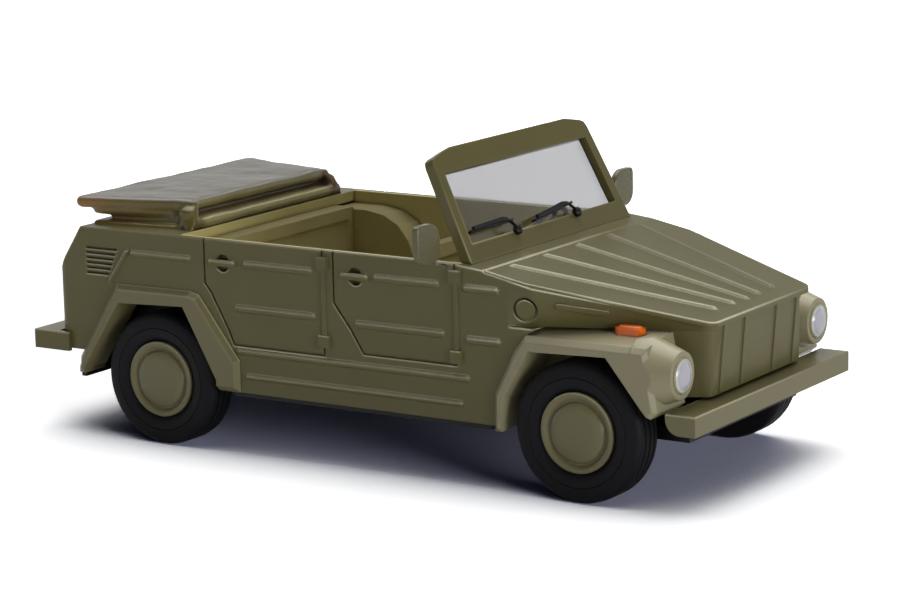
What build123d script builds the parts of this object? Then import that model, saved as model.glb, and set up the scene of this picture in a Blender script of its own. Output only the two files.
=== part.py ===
"""A small scale model of an open army four-seat car, as the moulded pieces that it is put together from.

Millimetres, X forward, Y to the car's left, Z up. The origin is on the floor, midway
between the two bumper faces and between the wheels of an axle.
"""

from build123d import *
from math import atan2, cos, degrees, hypot, radians, sin
import os

# Wheels and axles
FRONT_AXLE_X = 14.86
WHEELBASE = 27.59
TYRE_R = 3.83
TYRE_W = 2.1
TYRE_SHOULDER = 0.45
RIM_R = 2.18
AXLE_R = 0.45
AXLE_CLEARANCE = 0.05
WELL_CLEARANCE = 0.8
REAR_AXLE_X = FRONT_AXLE_X - WHEELBASE

# Body shell: its width, its ends beyond the axles and its heights above the wheels
SIDE_Y = 9.02
WALL = 0.55
FRONT_OVERHANG = 6.29
REAR_OVERHANG = 7.47
REAR_SLANT = 2.0
REAR_CORNER_R = 0.9
SCREEN_LEAD = 1.85
DECK_LEAD = 1.53
WING_RISE = 1.44
BELT_RISE = 3.06
SILL_DROP = 0.18
CLEARANCE = 0.05
TYRE_FACE_Y = SIDE_Y + 0.08
WELL_Y = TYRE_FACE_Y - TYRE_W - WELL_CLEARANCE
BONNET_TIP_X = FRONT_AXLE_X + FRONT_OVERHANG
REAR_X = REAR_AXLE_X - REAR_OVERHANG
COWL_X = REAR_AXLE_X + WHEELBASE * 0.7315
DECK_FRONT_X = REAR_AXLE_X + DECK_LEAD
BONNET_REAR_X = COWL_X + SCREEN_LEAD
CABIN = COWL_X - DECK_FRONT_X
WING_Z = 2 * TYRE_R + WING_RISE
BELT_Z = WING_Z + BELT_RISE
SILL_Z = TYRE_R - SILL_DROP
REAR_LOW_Z = TYRE_R + 1.17
REAR_BREAK_Z = WING_Z + 0.2
INNER_Y = SIDE_Y - WALL

# Bonnet, flat on top and narrowing to the nose
BONNET_DROP = 2.36
BONNET_T = 0.28
BONNET_LIP = 0.15
BONNET_SIDE_Y = SIDE_Y - 0.07
BONNET_TIP_Y = SIDE_Y * 0.619
BONNET_CORNER_R = 0.75
NOSE_CORNER_R = 1.05
BONNET_REAR_Z = BELT_Z - 0.18
BONNET_L = BONNET_TIP_X - BONNET_REAR_X
BONNET_TIP_Z = BONNET_REAR_Z - BONNET_DROP
NOSE_LOW_X = BONNET_TIP_X - 0.5

# Bumpers
BUMPER_H = 1.1
BUMPER_DEPTH = 1.75
BUMPER_SKIN = 0.45
BUMPER_FRONT_X = BONNET_TIP_X + 0.64
BUMPER_REAR_X = REAR_X - 1.59
BUMPER_FRONT_Y = SIDE_Y - 0.1
BUMPER_REAR_Y = SIDE_Y + 0.28
BUMPER_FRONT_Z = TYRE_R + 0.47
BUMPER_REAR_Z = TYRE_R + 1.03
NOSE_LOW_Z = BUMPER_FRONT_Z + BUMPER_H + 0.15

# Wings
WING_PROUD = 0.35
WING_T = 0.5
WING_FALL = 0.4
WING_BEVEL = 0.3
WING_Y = SIDE_Y + WING_PROUD

# Lamps
LAMP_HOUSING_R = 1.27
LAMP_FLARE = 0.8
LENS_DEPTH = 0.5
LENS_DOME = 0.3
LAMP_HOUSING_X = BONNET_TIP_X - 0.7
LAMP_Y = WING_Y - LAMP_HOUSING_R - 0.34
LAMP_Z = WING_Z - LAMP_HOUSING_R - 0.61
LENS_R = LAMP_HOUSING_R * 0.77
INDICATOR_L = 1.7

# Windscreen, leaning back from the cowl
SCREEN_TILT = 26.5
SCREEN_H = 6.3
SCREEN_T = 0.6
SCREEN_CROWN = 0.3
SCREEN_SILL = 0.93
SCREEN_HEADER = 1.35
SCREEN_POST = 0.75
SCREEN_CORNER_R = 0.45
PANE_T = 0.2
PANE_SETBACK = 0.35
MIRROR_W = 2.1
MIRROR_H = 2.0
SCREEN_BASE_X = COWL_X + 0.65
SCREEN_BASE_Z = BELT_Z + 0.09
SCREEN_BASE_Y = SIDE_Y - 0.6
SCREEN_TOP_Y = SCREEN_BASE_Y - 0.42

# Floor and seats
FLOOR_T = 0.45
CHASSIS_T = 0.7
CHASSIS_RIB = 0.5
SEAT_W = 4.9
SEAT_H = 2.5
BEARING_W = 1.75
FLOOR_Z = SILL_Z + 0.3
FLOOR_TOP = FLOOR_Z + FLOOR_T
CHASSIS_Z = FLOOR_Z - CHASSIS_T
CHASSIS_HALF = WELL_Y - CLEARANCE
LINER_T = 0.35
SEAT_Y = (INNER_Y - CLEARANCE) / 2
TUNNEL_HALF = 0.95
BENCH_TOP_Z = BELT_Z - 0.66
DOOR_GAP = 0.13

# Outlines round a wheel, in tyre radii: along from the axle, then up from the axle.
FRONT_OPENING = [
    (-1.183, -0.48), (-1.183, 0.0), (-1.125, 0.36), (-0.721, 1.076),
    (0.509, 1.117), (1.042, 0.457), (1.162, 0.321), (1.162, -0.48),
]
FRONT_WING = [
    (-1.295, -0.112), (-1.287, 0.413), (-0.963, 1.052), (-0.781, 1.292),
    (-0.634, 1.376), (1.097, 1.376), (1.274, 0.415), (1.162, 0.321), (1.162, -0.112),
]
REAR_OPENING = [
    (-1.462, -0.48), (-1.428, 0.008), (-0.687, 1.107), (0.525, 1.159), (1.104, 0.117), (1.123, -0.48),
]
REAR_WING = [
    (-1.533, -0.047), (-1.517, 0.198), (-0.749, 1.389), (0.634, 1.397), (0.794, 1.347),
    (1.496, 0.428), (1.496, -0.047),
]
# Corners of the car, as the wheel's name, the axle's X and the side.
CORNERS = [
    ("front_left", FRONT_AXLE_X, 1),
    ("front_right", FRONT_AXLE_X, -1),
    ("rear_left", REAR_AXLE_X, 1),
    ("rear_right", REAR_AXLE_X, -1),
]
# Door outlines on the side, as the share of the wheelbase behind the front axle and the drop from the belt.
FRONT_DOOR = [
    (0.267, -1.0), (0.267, 5.51), (0.488, 5.51), (0.518, 4.2), (0.5575, 2.81), (0.5575, -1.0),
]
REAR_DOOR = [
    (0.579, -1.0), (0.579, 5.86), (0.807, 5.86), (0.821, 5.0), (0.863, 2.94), (0.8775, 2.46), (0.8775, -1.0),
]
# Raised beads on the side: rear and front end in shares of the wheelbase, drop from the belt, width.
SIDE_BEADS = [
    (1.067, 0.909, 1.2, 0.34),
    (0.776, 0.604, 1.2, 0.4),
    (0.458, 0.303, 1.2, 0.4),
    (0.250, 0.168, 1.25, 0.4),
    (0.800, 0.600, 3.72, 0.4),
    (0.505, 0.293, 3.86, 0.4),
    (0.245, 0.166, 4.02, 0.4),
    (0.798, 0.238, 6.16, 0.36),
    (0.778, 0.254, 7.56, 0.3),
]
# Hinges, as the share of the wheelbase and the drops of their upper and lower blocks.
HINGES = [(0.267, 0.65, 5.0), (0.579, 0.65, 5.0)]
# Handles, as the share of the wheelbase behind the front axle.
HANDLES = [0.8286, 0.5024]
# Bonnet beads: start and end as shares of its length, half-widths there as shares of the body's.
BONNET_BEADS = [(0.025, 0.76, 0.90, 0.36), (0.025, 0.38, 0.91, 0.16)]
BONNET_MIDDLE_BEAD = (0.025, 0.0, 0.915, 0.0)


def outline(points):
    return make_face(Polyline(*points, close=True))


def across(face, y_low, y_high):
    """A prism whose outline is drawn in X and Z, from y_low to y_high."""
    plane = Plane(origin=(0, y_high, 0), x_dir=(1, 0, 0), z_dir=(0, -1, 0))
    return extrude(plane * face, y_high - y_low, dir=(0, -1, 0))


def along(face, x_low, x_high):
    """A prism whose outline is drawn in Y and Z, from x_low to x_high."""
    plane = Plane(origin=(x_low, 0, 0), x_dir=(0, 1, 0), z_dir=(1, 0, 0))
    return extrude(plane * face, x_high - x_low, dir=(1, 0, 0))


def upward(face, z_low, z_high):
    """A prism whose outline is drawn in X and Y, from z_low to z_high."""
    return extrude(Plane.XY.offset(z_low) * face, z_high - z_low, dir=(0, 0, 1))


def block(x_low, x_high, y_low, y_high, z_low, z_high):
    size = (x_high - x_low, y_high - y_low, z_high - z_low)
    middle = ((x_low + x_high) / 2, (y_low + y_high) / 2, (z_low + z_high) / 2)
    return Pos(*middle) * Box(*size)


def cylinder_x(radius, x_low, x_high, y, z):
    turned = Plane(origin=(x_low, y, z), x_dir=(0, 1, 0), z_dir=(1, 0, 0))
    return extrude(turned * Circle(radius), x_high - x_low, dir=(1, 0, 0))


def cylinder_y(radius, y_low, y_high, x, z):
    turned = Plane(origin=(x, y_low, z), x_dir=(1, 0, 0), z_dir=(0, -1, 0))
    return extrude(turned * Circle(radius), y_high - y_low, dir=(0, 1, 0))


def both_sides(shape):
    return shape + mirror(shape, Plane.XZ)


def bar_end(length, width):
    """The outline of a raised bar, pointed at both ends by two cuts."""
    half, side, tip = length / 2, width / 2, width * 0.22
    return outline([
        (-half, -tip), (-half + side - tip, -side), (half - side + tip, -side), (half, -tip),
        (half, tip), (half - side + tip, side), (-half + side - tip, side), (-half, tip),
    ])


def mirrored_plan(half):
    """A closed plan outline from its points at positive Y."""
    return half + [(x, -y) for x, y in reversed(half)]


def round_wheel(points, axle_x):
    """An outline in tyre radii as X and Z."""
    return [(axle_x + x * TYRE_R, TYRE_R + z * TYRE_R) for x, z in points]


def on_side(share, drop):
    """X and Z of a point on the body's side."""
    return (FRONT_AXLE_X - share * WHEELBASE, BELT_Z - drop)


def bonnet_z(x):
    return BONNET_REAR_Z - BONNET_DROP * (x - BONNET_REAR_X) / BONNET_L


def bonnet_y(x):
    """Half-width of the bonnet's straight edge at x."""
    start = BONNET_REAR_X + BONNET_L * 0.21
    return BONNET_SIDE_Y - (BONNET_SIDE_Y - BONNET_TIP_Y) * (x - start) / (BONNET_TIP_X - start)


def nose_plan(tip_x, inset):
    """Plan of the shell whose nose is inset from the bonnet's edge, with rounded corners."""
    knee = BONNET_REAR_X + BONNET_L * 0.12
    turn = BONNET_REAR_X + BONNET_L * 0.25
    face = outline(mirrored_plan([
        (REAR_X, SIDE_Y), (knee, SIDE_Y), (turn, bonnet_y(turn) - inset),
        (tip_x, bonnet_y(tip_x) - inset),
    ]))
    return fillet(face.vertices().group_by(Axis.X)[-1], NOSE_CORNER_R)


def bonnet_lid():
    knee = BONNET_REAR_X + BONNET_L * 0.21
    face = outline(mirrored_plan([
        (BONNET_REAR_X, BONNET_SIDE_Y), (knee, BONNET_SIDE_Y), (BONNET_TIP_X, BONNET_TIP_Y),
    ]))
    face = fillet(face.vertices().group_by(Axis.X)[-1], BONNET_CORNER_R)
    side = [
        (BONNET_REAR_X, BONNET_REAR_Z), (BONNET_TIP_X, BONNET_TIP_Z),
        (BONNET_TIP_X, BONNET_TIP_Z - BONNET_T), (BONNET_REAR_X, BONNET_REAR_Z - BONNET_T),
    ]
    return upward(face, WING_Z - 2, BELT_Z + 2) & across(outline(side), -SIDE_Y, SIDE_Y)


def bonnet_bead(start, start_y, end, end_y):
    """A raised rib along the bonnet; the ribs spread towards the screen."""
    slope = atan2(BONNET_DROP, BONNET_L)
    x0, x1 = (BONNET_REAR_X + BONNET_L * share for share in (start, end))
    y0, y1 = (SIDE_Y * share for share in (start_y, end_y))
    length = hypot(x1 - x0, y1 - y0) / cos(slope)
    turn = degrees(atan2(y1 - y0, (x1 - x0) / cos(slope)))
    bead = extrude(bar_end(length, 0.34), 0.3)
    bead = chamfer(bead.edges().group_by(Axis.Z)[-1], 0.1)
    middle = ((x0 + x1) / 2, (y0 + y1) / 2, bonnet_z((x0 + x1) / 2) - 0.19)
    return Pos(*middle) * Rot(0, degrees(slope), 0) * Rot(0, 0, turn) * bead


def nose_side_point(share, z):
    """A point on the left side of the nose, by the share of the bonnet's length and its height."""
    x = BONNET_REAR_X + BONNET_L * share
    lean = (z - WING_Z) / (BELT_Z + 0.4 - WING_Z)
    return Vector(x, bonnet_y(x) - 0.5 + 1.4 * lean, z)


def nose_side_bead():
    """The raised bar below the bonnet's edge, falling to the front on the turned-in side."""
    rear = nose_side_point(0.34, WING_Z + 1.28)
    front = nose_side_point(0.56, WING_Z + 0.9)
    run = front - rear
    up = nose_side_point(0.45, WING_Z + 1.6) - nose_side_point(0.45, WING_Z + 0.4)
    facing = Plane(origin=(rear + front) / 2, x_dir=run, z_dir=up.cross(run))
    return extrude(facing * bar_end(run.length, 0.36), 0.12, both=True)


def shell_solid():
    """The shell's outer form before it is hollowed."""
    well_front = BONNET_TIP_X - FRONT_OVERHANG * 0.477
    low_plan = outline(mirrored_plan([
        (REAR_X, SIDE_Y), (FRONT_AXLE_X - 0.65 * TYRE_R, SIDE_Y),
        (FRONT_AXLE_X - 0.65 * TYRE_R, WELL_Y), (well_front, WELL_Y),
        (BONNET_TIP_X - 0.2, BONNET_TIP_Y - 0.6),
    ]))
    low_plan = fillet(low_plan.vertices().group_by(Axis.X)[-1], NOSE_CORNER_R)
    low = upward(low_plan, 0, WING_Z)
    high = loft(
        [
            Plane.XY.offset(WING_Z) * nose_plan(BONNET_TIP_X - 0.2, 0.5),
            Plane.XY.offset(BELT_Z + 0.4) * nose_plan(BONNET_TIP_X + 0.1, -0.9),
        ],
        ruled=True,
    )
    cabin = block(REAR_X, BONNET_REAR_X, -SIDE_Y, SIDE_Y, 0, BELT_Z + 0.4)
    solid = low + high + cabin
    rear_edges = solid.edges().filter_by(Axis.Z).group_by(Axis.X)[0]
    solid = fillet(rear_edges, REAR_CORNER_R)
    tip = BONNET_TIP_X - BONNET_LIP
    well_rear = FRONT_AXLE_X - 1.29 * TYRE_R
    arch_front = REAR_AXLE_X + 1.11 * TYRE_R
    profile = [
        (REAR_X, REAR_LOW_Z), (REAR_X, REAR_BREAK_Z), (REAR_X + REAR_SLANT, BELT_Z + 0.1),
        (COWL_X, BELT_Z), (BONNET_REAR_X - 0.12, BONNET_REAR_Z),
        (BONNET_REAR_X, bonnet_z(BONNET_REAR_X) - 0.1), (tip, bonnet_z(tip) - 0.2),
        (NOSE_LOW_X, NOSE_LOW_Z), (well_rear, NOSE_LOW_Z), (well_rear, SILL_Z),
        (arch_front, SILL_Z), (arch_front, REAR_LOW_Z),
    ]
    return solid & across(outline(profile), -SIDE_Y - 1, SIDE_Y + 1)


def shell_hollow():
    """The room inside the shell: cabin, the space behind it and the space under the bonnet."""
    hollow = block(DECK_FRONT_X, COWL_X, -INNER_Y, INNER_Y, 0, BELT_Z + 1)
    hollow += block(REAR_X + WALL, DECK_FRONT_X, -INNER_Y, INNER_Y, 0, REAR_BREAK_Z)
    hollow += block(DECK_FRONT_X, BONNET_REAR_X, -INNER_Y, INNER_Y, 0, FLOOR_Z)
    rear_room = [
        (REAR_X + WALL, REAR_BREAK_Z - 0.1), (REAR_X + REAR_SLANT + WALL, BELT_Z - WALL),
        (DECK_FRONT_X + 0.02, BELT_Z - WALL), (DECK_FRONT_X + 0.02, REAR_BREAK_Z - 0.1),
    ]
    hollow += across(outline(rear_room), -INNER_Y, INNER_Y)
    engine_y = WELL_Y - WALL
    front_x = BONNET_TIP_X - FRONT_OVERHANG * 0.477
    plan = [
        (COWL_X + WALL, INNER_Y), (BONNET_REAR_X, INNER_Y), (BONNET_REAR_X, engine_y),
        (front_x, engine_y), (NOSE_LOW_X - WALL, BONNET_TIP_Y - 0.6 - 2 * WALL),
    ]
    roof = BONNET_T + WALL
    side = [
        (COWL_X + WALL, 0), (COWL_X + WALL, BONNET_REAR_Z - roof),
        (NOSE_LOW_X, bonnet_z(NOSE_LOW_X) - roof), (NOSE_LOW_X, 0),
    ]
    hollow += upward(outline(mirrored_plan(plan)), 0, BELT_Z) & across(outline(side), -SIDE_Y, SIDE_Y)
    return hollow


def rear_recess():
    """The cut in the body side that the rear arch's rim fills."""
    face = outline(round_wheel(REAR_OPENING, REAR_AXLE_X))
    return offset(face, WING_T, kind=Kind.INTERSECTION)


def wheel_cuts():
    cuts = across(outline(round_wheel(FRONT_WING, FRONT_AXLE_X)), WELL_Y, SIDE_Y + 1)
    cuts += across(rear_recess(), WELL_Y, SIDE_Y + 1)
    return both_sides(cuts)


def door_grooves():
    """The joint lines round the two doors on the left side."""
    grooves = []
    for points in (FRONT_DOOR, REAR_DOOR):
        face = outline([on_side(share, drop) for share, drop in points])
        inner = offset(face, -DOOR_GAP, kind=Kind.INTERSECTION)
        grooves.append(across(face - inner, SIDE_Y - 0.14, SIDE_Y + 0.1))
    return grooves


def side_slot(x_low, x_high, z, width, low_y, high_y):
    """A bar along the left side with a bevelled face."""
    plane = Plane(origin=((x_low + x_high) / 2, low_y, z), x_dir=(1, 0, 0), z_dir=(0, 1, 0))
    bar = extrude(plane * bar_end(x_high - x_low, width), high_y - low_y, dir=(0, 1, 0))
    return chamfer(bar.edges().group_by(Axis.Y)[-1], 0.09)


def side_beads():
    beads = []
    for rear, front, drop, width in SIDE_BEADS:
        x_low, z = on_side(rear, drop)
        x_high = on_side(front, drop)[0]
        beads.append(side_slot(x_low, x_high, z, width, SIDE_Y - 0.1, SIDE_Y + 0.13))
    x_low, z_high = on_side(1.078, 1.02)
    x_high, z_low = on_side(1.130, 3.06)
    strip = [(x_low, z_high), (x_low + 0.3, z_high), (x_high + 0.3, z_low), (x_high, z_low)]
    beads.append(across(outline(strip), SIDE_Y - 0.1, SIDE_Y + 0.12))
    return beads


def hinge_blocks():
    blocks = []
    for share, upper, lower in HINGES:
        for drop in (upper, lower):
            x, z = on_side(share, drop)
            blocks.append(block(x - 0.32, x + 0.32, SIDE_Y - 0.2, SIDE_Y + 0.22, z - 0.36, z + 0.36))
        x, z_low = on_side(share, lower)
        z_high = on_side(share, upper)[1]
        blocks.append(block(x - 0.12, x + 0.12, SIDE_Y - 0.2, SIDE_Y + 0.1, z_low, z_high))
    return blocks


def handle_recesses():
    """The round finger room behind each handle."""
    cuts = []
    for share in HANDLES:
        x, z = on_side(share, 1.22)
        facing = Plane(origin=(x, SIDE_Y, z), x_dir=(1, 0, 0), z_dir=(0, 1, 0))
        cuts.append(extrude(facing * RegularPolygon(0.5, 16), 0.3, both=True))
    return cuts


def handles():
    bars = []
    for share in HANDLES:
        x, z = on_side(share, 1.22)
        bars.append(side_slot(x - 0.92, x + 0.92, z, 0.38, SIDE_Y - 0.08, SIDE_Y + 0.22))
    return bars


def louvres():
    """Air slots in the rear quarter, cut level behind a slanted edge."""
    slots = []
    for row in range(6):
        x, z = on_side(1.103, 1.06 + 0.29 * row)
        x_front = x - 0.13 * row
        x_rear = on_side(1.186, 0)[0]
        slots.append(block(x_rear, x_front, SIDE_Y - 0.2, SIDE_Y + 0.2, z - 0.09, z + 0.06))
    return slots


def filler_groove():
    """The ring round the fuel filler, on the turned-in part of the right side."""
    knee = BONNET_REAR_X + BONNET_L * 0.12
    turn = BONNET_REAR_X + BONNET_L * 0.25
    turned = atan2(SIDE_Y - bonnet_y(turn) + 0.2, turn - knee)
    x = (knee + turn) / 2 + 0.2
    y = -(SIDE_Y + bonnet_y(turn) - 0.2) / 2
    facing = Plane(origin=(x, y, WING_Z + 0.97), x_dir=(0, 0, 1), z_dir=(sin(turned), -cos(turned), 0))
    ring = RegularPolygon(0.68, 24) - RegularPolygon(0.54, 24)
    return extrude(facing * ring, 0.22, both=True)


def engine_lid_joint():
    """The joint line round the engine lid in the upright part of the rear panel."""
    lid = [(SIDE_Y * 0.56, REAR_LOW_Z + 0.7), (SIDE_Y * 0.5, REAR_BREAK_Z - 0.25)]
    face = outline(lid + [(-y, z) for y, z in reversed(lid)])
    return along(face - offset(face, -DOOR_GAP, kind=Kind.INTERSECTION), REAR_X - 0.1, REAR_X + 0.14)


def emboss_nose():
    """Shallow upright beads on the nose."""
    beads = []
    for share in (0.2, 0.46):
        y = SIDE_Y * share
        face = [
            (NOSE_LOW_X - 0.1, NOSE_LOW_Z + 0.1), (NOSE_LOW_X + 0.09, NOSE_LOW_Z + 0.1),
            (BONNET_TIP_X - BONNET_LIP + 0.07, BONNET_TIP_Z - BONNET_T),
            (BONNET_TIP_X - BONNET_LIP - 0.1, BONNET_TIP_Z - BONNET_T),
        ]
        beads.append(across(outline(face), y - 0.16, y + 0.16))
        beads.append(across(outline(face), -y - 0.16, -y + 0.16))
    return beads


def body_shell():
    shell = shell_solid() + bonnet_lid()
    shell = shell - shell_hollow() - wheel_cuts()
    for cut in door_grooves() + handle_recesses() + louvres():
        shell = shell - both_sides(cut)
    ribs = [bonnet_bead(*row) for row in BONNET_BEADS] + [nose_side_bead()]
    for raised in side_beads() + hinge_blocks() + handles() + ribs:
        shell = shell + both_sides(raised)
    for raised in emboss_nose() + [bonnet_bead(*BONNET_MIDDLE_BEAD)]:
        shell = shell + raised
    shell = shell - filler_groove() - engine_lid_joint()
    return shell - both_sides(tail_lamp())


def headlamp():
    """The left lamp's clear lens, a plug with a domed face."""
    start = LAMP_HOUSING_X - LENS_DEPTH
    section = [
        (0, start), (LENS_R, start), (LENS_R, LAMP_HOUSING_X),
        (LENS_R * 0.65, LAMP_HOUSING_X + LENS_DOME * 0.8), (0, LAMP_HOUSING_X + LENS_DOME),
    ]
    turned = revolve(Plane.XZ * outline(section), Axis.Z)
    return Pos(0, LAMP_Y, LAMP_Z) * Rot(0, 90, 0) * turned


def indicator():
    """The left turn lamp, a long lens let into the wing's top."""
    x = FRONT_AXLE_X + TYRE_R * 0.585
    base = Pos(x, WELL_Y + 1.02, WING_Z - 0.37) * extrude(bar_end(INDICATOR_L, 0.82), 0.62)
    return chamfer(base.edges().group_by(Axis.Z)[-1], 0.2)


def front_wing():
    """The left front wing, a band over the wheel with the lamp's housing in its front."""
    solid = across(outline(round_wheel(FRONT_WING, FRONT_AXLE_X)), WELL_Y, WING_Y)
    top = [
        (WELL_Y, 0), (WELL_Y, WING_Z), (WELL_Y + 0.4, WING_Z),
        (WING_Y - WING_BEVEL, WING_Z - WING_FALL * 0.85), (WING_Y, WING_Z - WING_FALL - 0.25),
        (WING_Y, 0),
    ]
    solid = solid & along(outline(top), 0, BUMPER_FRONT_X)
    rim_face = outline(round_wheel(FRONT_WING, FRONT_AXLE_X))
    bevel = across(rim_face, SIDE_Y, WING_Y)
    bevel = chamfer(bevel.faces().sort_by(Axis.Y)[-1].edges(), WING_BEVEL * 0.8)
    solid = solid & (bevel + block(0, BUMPER_FRONT_X, 0, SIDE_Y, 0, BELT_Z))
    base = Plane(origin=(LAMP_HOUSING_X - 2.2, LAMP_Y, LAMP_Z), x_dir=(0, 1, 0), z_dir=(1, 0, 0))
    flare = base * Circle(LAMP_HOUSING_R + LAMP_FLARE)
    housing = loft([flare, base.offset(2.2) * Circle(LAMP_HOUSING_R)])
    solid += housing & block(0, BUMPER_FRONT_X, WELL_Y, WING_Y, BUMPER_FRONT_Z + BUMPER_H + 0.1, WING_Z)
    opening = across(outline(round_wheel(FRONT_OPENING, FRONT_AXLE_X)), 0, WING_Y + 1)
    return solid - opening - headlamp() - indicator()


def rear_wing():
    """The left rear wheel arch, a proud rim with a lip that turns into the opening."""
    proud = across(outline(round_wheel(REAR_WING, REAR_AXLE_X)), SIDE_Y, WING_Y)
    proud = chamfer(proud.faces().sort_by(Axis.Y)[-1].edges(), WING_BEVEL)
    lip = across(rear_recess(), WING_Y - 2.1, SIDE_Y)
    lip = lip & block(REAR_X - 1, 0, 0, SIDE_Y, SILL_Z, BELT_Z)
    opening = across(outline(round_wheel(REAR_OPENING, REAR_AXLE_X)), 0, WING_Y + 1)
    return proud + lip - opening


def tyre():
    """A tyre about the Y axis, its outer face at positive Y."""
    half = TYRE_W / 2
    section = [
        (RIM_R, -half), (TYRE_R, -half + TYRE_SHOULDER), (TYRE_R, half - TYRE_SHOULDER),
        (TYRE_R - TYRE_SHOULDER, half), (RIM_R, half - 0.12),
    ]
    return revolve(outline(section), Axis.Y)


def wheel_disc():
    """A wheel about the Y axis with a ring groove and a domed cap, bored for the axle."""
    half = TYRE_W / 2
    cap = RIM_R * 0.75
    section = [
        (0, half), (cap, half - 0.06), (cap + 0.1, half - 0.3), (RIM_R, half),
        (RIM_R, -half + 0.25), (0, -half + 0.25),
    ]
    turned = revolve(outline(section), Axis.Y)
    return turned - cylinder_y(AXLE_R, -half, half - 0.5, 0, 0)


def placed(shape, axle_x, side):
    """A wheel part moved to its corner, its outer face outboard."""
    moved = Pos(axle_x, TYRE_FACE_Y - TYRE_W / 2, TYRE_R) * shape
    if side < 0:
        return mirror(moved, Plane.XZ)
    return moved


def axle(axle_x):
    half = TYRE_FACE_Y - 0.5
    return cylinder_y(AXLE_R, -half, half, axle_x, TYRE_R)


def chassis():
    """The black base: plate, axle bearings, bumper brackets, gearbox rib and rear wheel boxes."""
    front = BONNET_REAR_X - CLEARANCE
    rear = REAR_AXLE_X + 1.28 * TYRE_R
    side = INNER_Y - CLEARANCE
    plate = block(rear, front, -side, side, CHASSIS_Z, FLOOR_Z)
    plate += block(REAR_X + WALL, BONNET_TIP_X - 1.2, -CHASSIS_HALF, CHASSIS_HALF, CHASSIS_Z, FLOOR_Z)
    bearing_in = CHASSIS_HALF - BEARING_W
    for x in (FRONT_AXLE_X, REAR_AXLE_X):
        plate -= block(x - 0.9, x + 0.9, -bearing_in, bearing_in, 0, BELT_Z)
        plate += both_sides(
            block(x - 1.4, x + 1.4, bearing_in, CHASSIS_HALF, TYRE_R - 0.95, TYRE_R + 1.3)
        )
        plate -= cylinder_y(AXLE_R + AXLE_CLEARANCE, -SIDE_Y, SIDE_Y, x, TYRE_R)
    front_inner = BUMPER_FRONT_X - BUMPER_SKIN
    rear_inner = BUMPER_REAR_X + BUMPER_SKIN
    under_rear = min(REAR_LOW_Z, BUMPER_REAR_Z + BUMPER_H - BUMPER_SKIN) - CLEARANCE
    arm_in, arm_out = CHASSIS_HALF * 0.4, CHASSIS_HALF * 0.68
    plate_front = BONNET_TIP_X - 1.2
    arms = block(
        plate_front - 1.4, front_inner, arm_in, arm_out, BUMPER_FRONT_Z, BUMPER_FRONT_Z + BUMPER_H - BUMPER_SKIN
    )
    arms += block(plate_front - 1.4, plate_front, arm_in, arm_out, CHASSIS_Z, BUMPER_FRONT_Z)
    arms += block(rear_inner, REAR_X + 2 * WALL, arm_in, arm_out, BUMPER_REAR_Z, under_rear)
    arms += block(REAR_X + WALL, REAR_X + 2 * WALL + 0.8, arm_in, arm_out, CHASSIS_Z, under_rear)
    plate += both_sides(arms)
    rib_rear = REAR_AXLE_X + 1.83 * TYRE_R
    plate += block(rib_rear, COWL_X, -TUNNEL_HALF, TUNNEL_HALF, CHASSIS_Z - CHASSIS_RIB, CHASSIS_Z)
    engine_y = CHASSIS_HALF * 0.52
    plate += block(REAR_X + 1.8, REAR_AXLE_X - 2.2, -engine_y, engine_y, CHASSIS_Z - CHASSIS_RIB, CHASSIS_Z)
    liner = offset(rear_recess(), LINER_T, kind=Kind.INTERSECTION)
    box = across(liner, CHASSIS_HALF - LINER_T, side)
    box -= across(rear_recess(), CHASSIS_HALF, SIDE_Y)
    box = box & block(REAR_X - 1, COWL_X, 0, SIDE_Y, CHASSIS_Z, BELT_Z)
    box -= block(REAR_X - 1, REAR_X + WALL + CLEARANCE, 0, SIDE_Y, 0, BELT_Z)
    box -= cylinder_y(AXLE_R + AXLE_CLEARANCE, 0, SIDE_Y, REAR_AXLE_X, TYRE_R)
    return plate + both_sides(box)


def bumper(face_x, half_y, low_z, inward, hollow_y):
    """A folded beam, open behind and below, with its ends turned back and rounded at their lower corner."""
    back_x = face_x + inward * BUMPER_DEPTH
    outer = block(
        min(face_x, back_x), max(face_x, back_x), -half_y, half_y, low_z, low_z + BUMPER_H
    )
    heel = outer.edges().filter_by(Axis.Y).group_by(Axis.Z)[0].sort_by(Axis.X)
    outer = fillet(heel[-1] if inward > 0 else heel[0], BUMPER_H * 0.75)
    hole_x = face_x + inward * BUMPER_SKIN
    far_x = back_x + inward
    inner = block(
        min(hole_x, far_x), max(hole_x, far_x), -hollow_y, hollow_y,
        low_z - 1, low_z + BUMPER_H - BUMPER_SKIN,
    )
    return outer - inner


def rear_bumper():
    """The rear beam, whose ends run forward past the body's corners."""
    beam = bumper(BUMPER_REAR_X, BUMPER_REAR_Y, BUMPER_REAR_Z, 1, SIDE_Y)
    high = BUMPER_REAR_Z + BUMPER_H
    ends = block(
        BUMPER_REAR_X + BUMPER_DEPTH / 2, REAR_X + 0.95, SIDE_Y, BUMPER_REAR_Y, BUMPER_REAR_Z, high
    )
    body = block(REAR_X, COWL_X, -SIDE_Y, SIDE_Y, 0, BELT_Z)
    return beam + both_sides(ends) - body


def screen_prism(points, front, back):
    """A prism on the leaning screen, between two depths in front of its face, from shares of its outline."""
    tilt = radians(SCREEN_TILT)
    facing = (cos(tilt), 0, sin(tilt))
    foot = (SCREEN_BASE_X, 0, SCREEN_BASE_Z)
    plane = Plane(origin=foot, x_dir=(0, 1, 0), z_dir=facing).offset(back)
    return extrude(plane * outline(points), front - back)


def screen_edge(y, up):
    """Half-width at a height up the screen for an edge that is y wide at its foot."""
    return y - (SCREEN_BASE_Y - SCREEN_TOP_Y) * up / SCREEN_H


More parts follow.
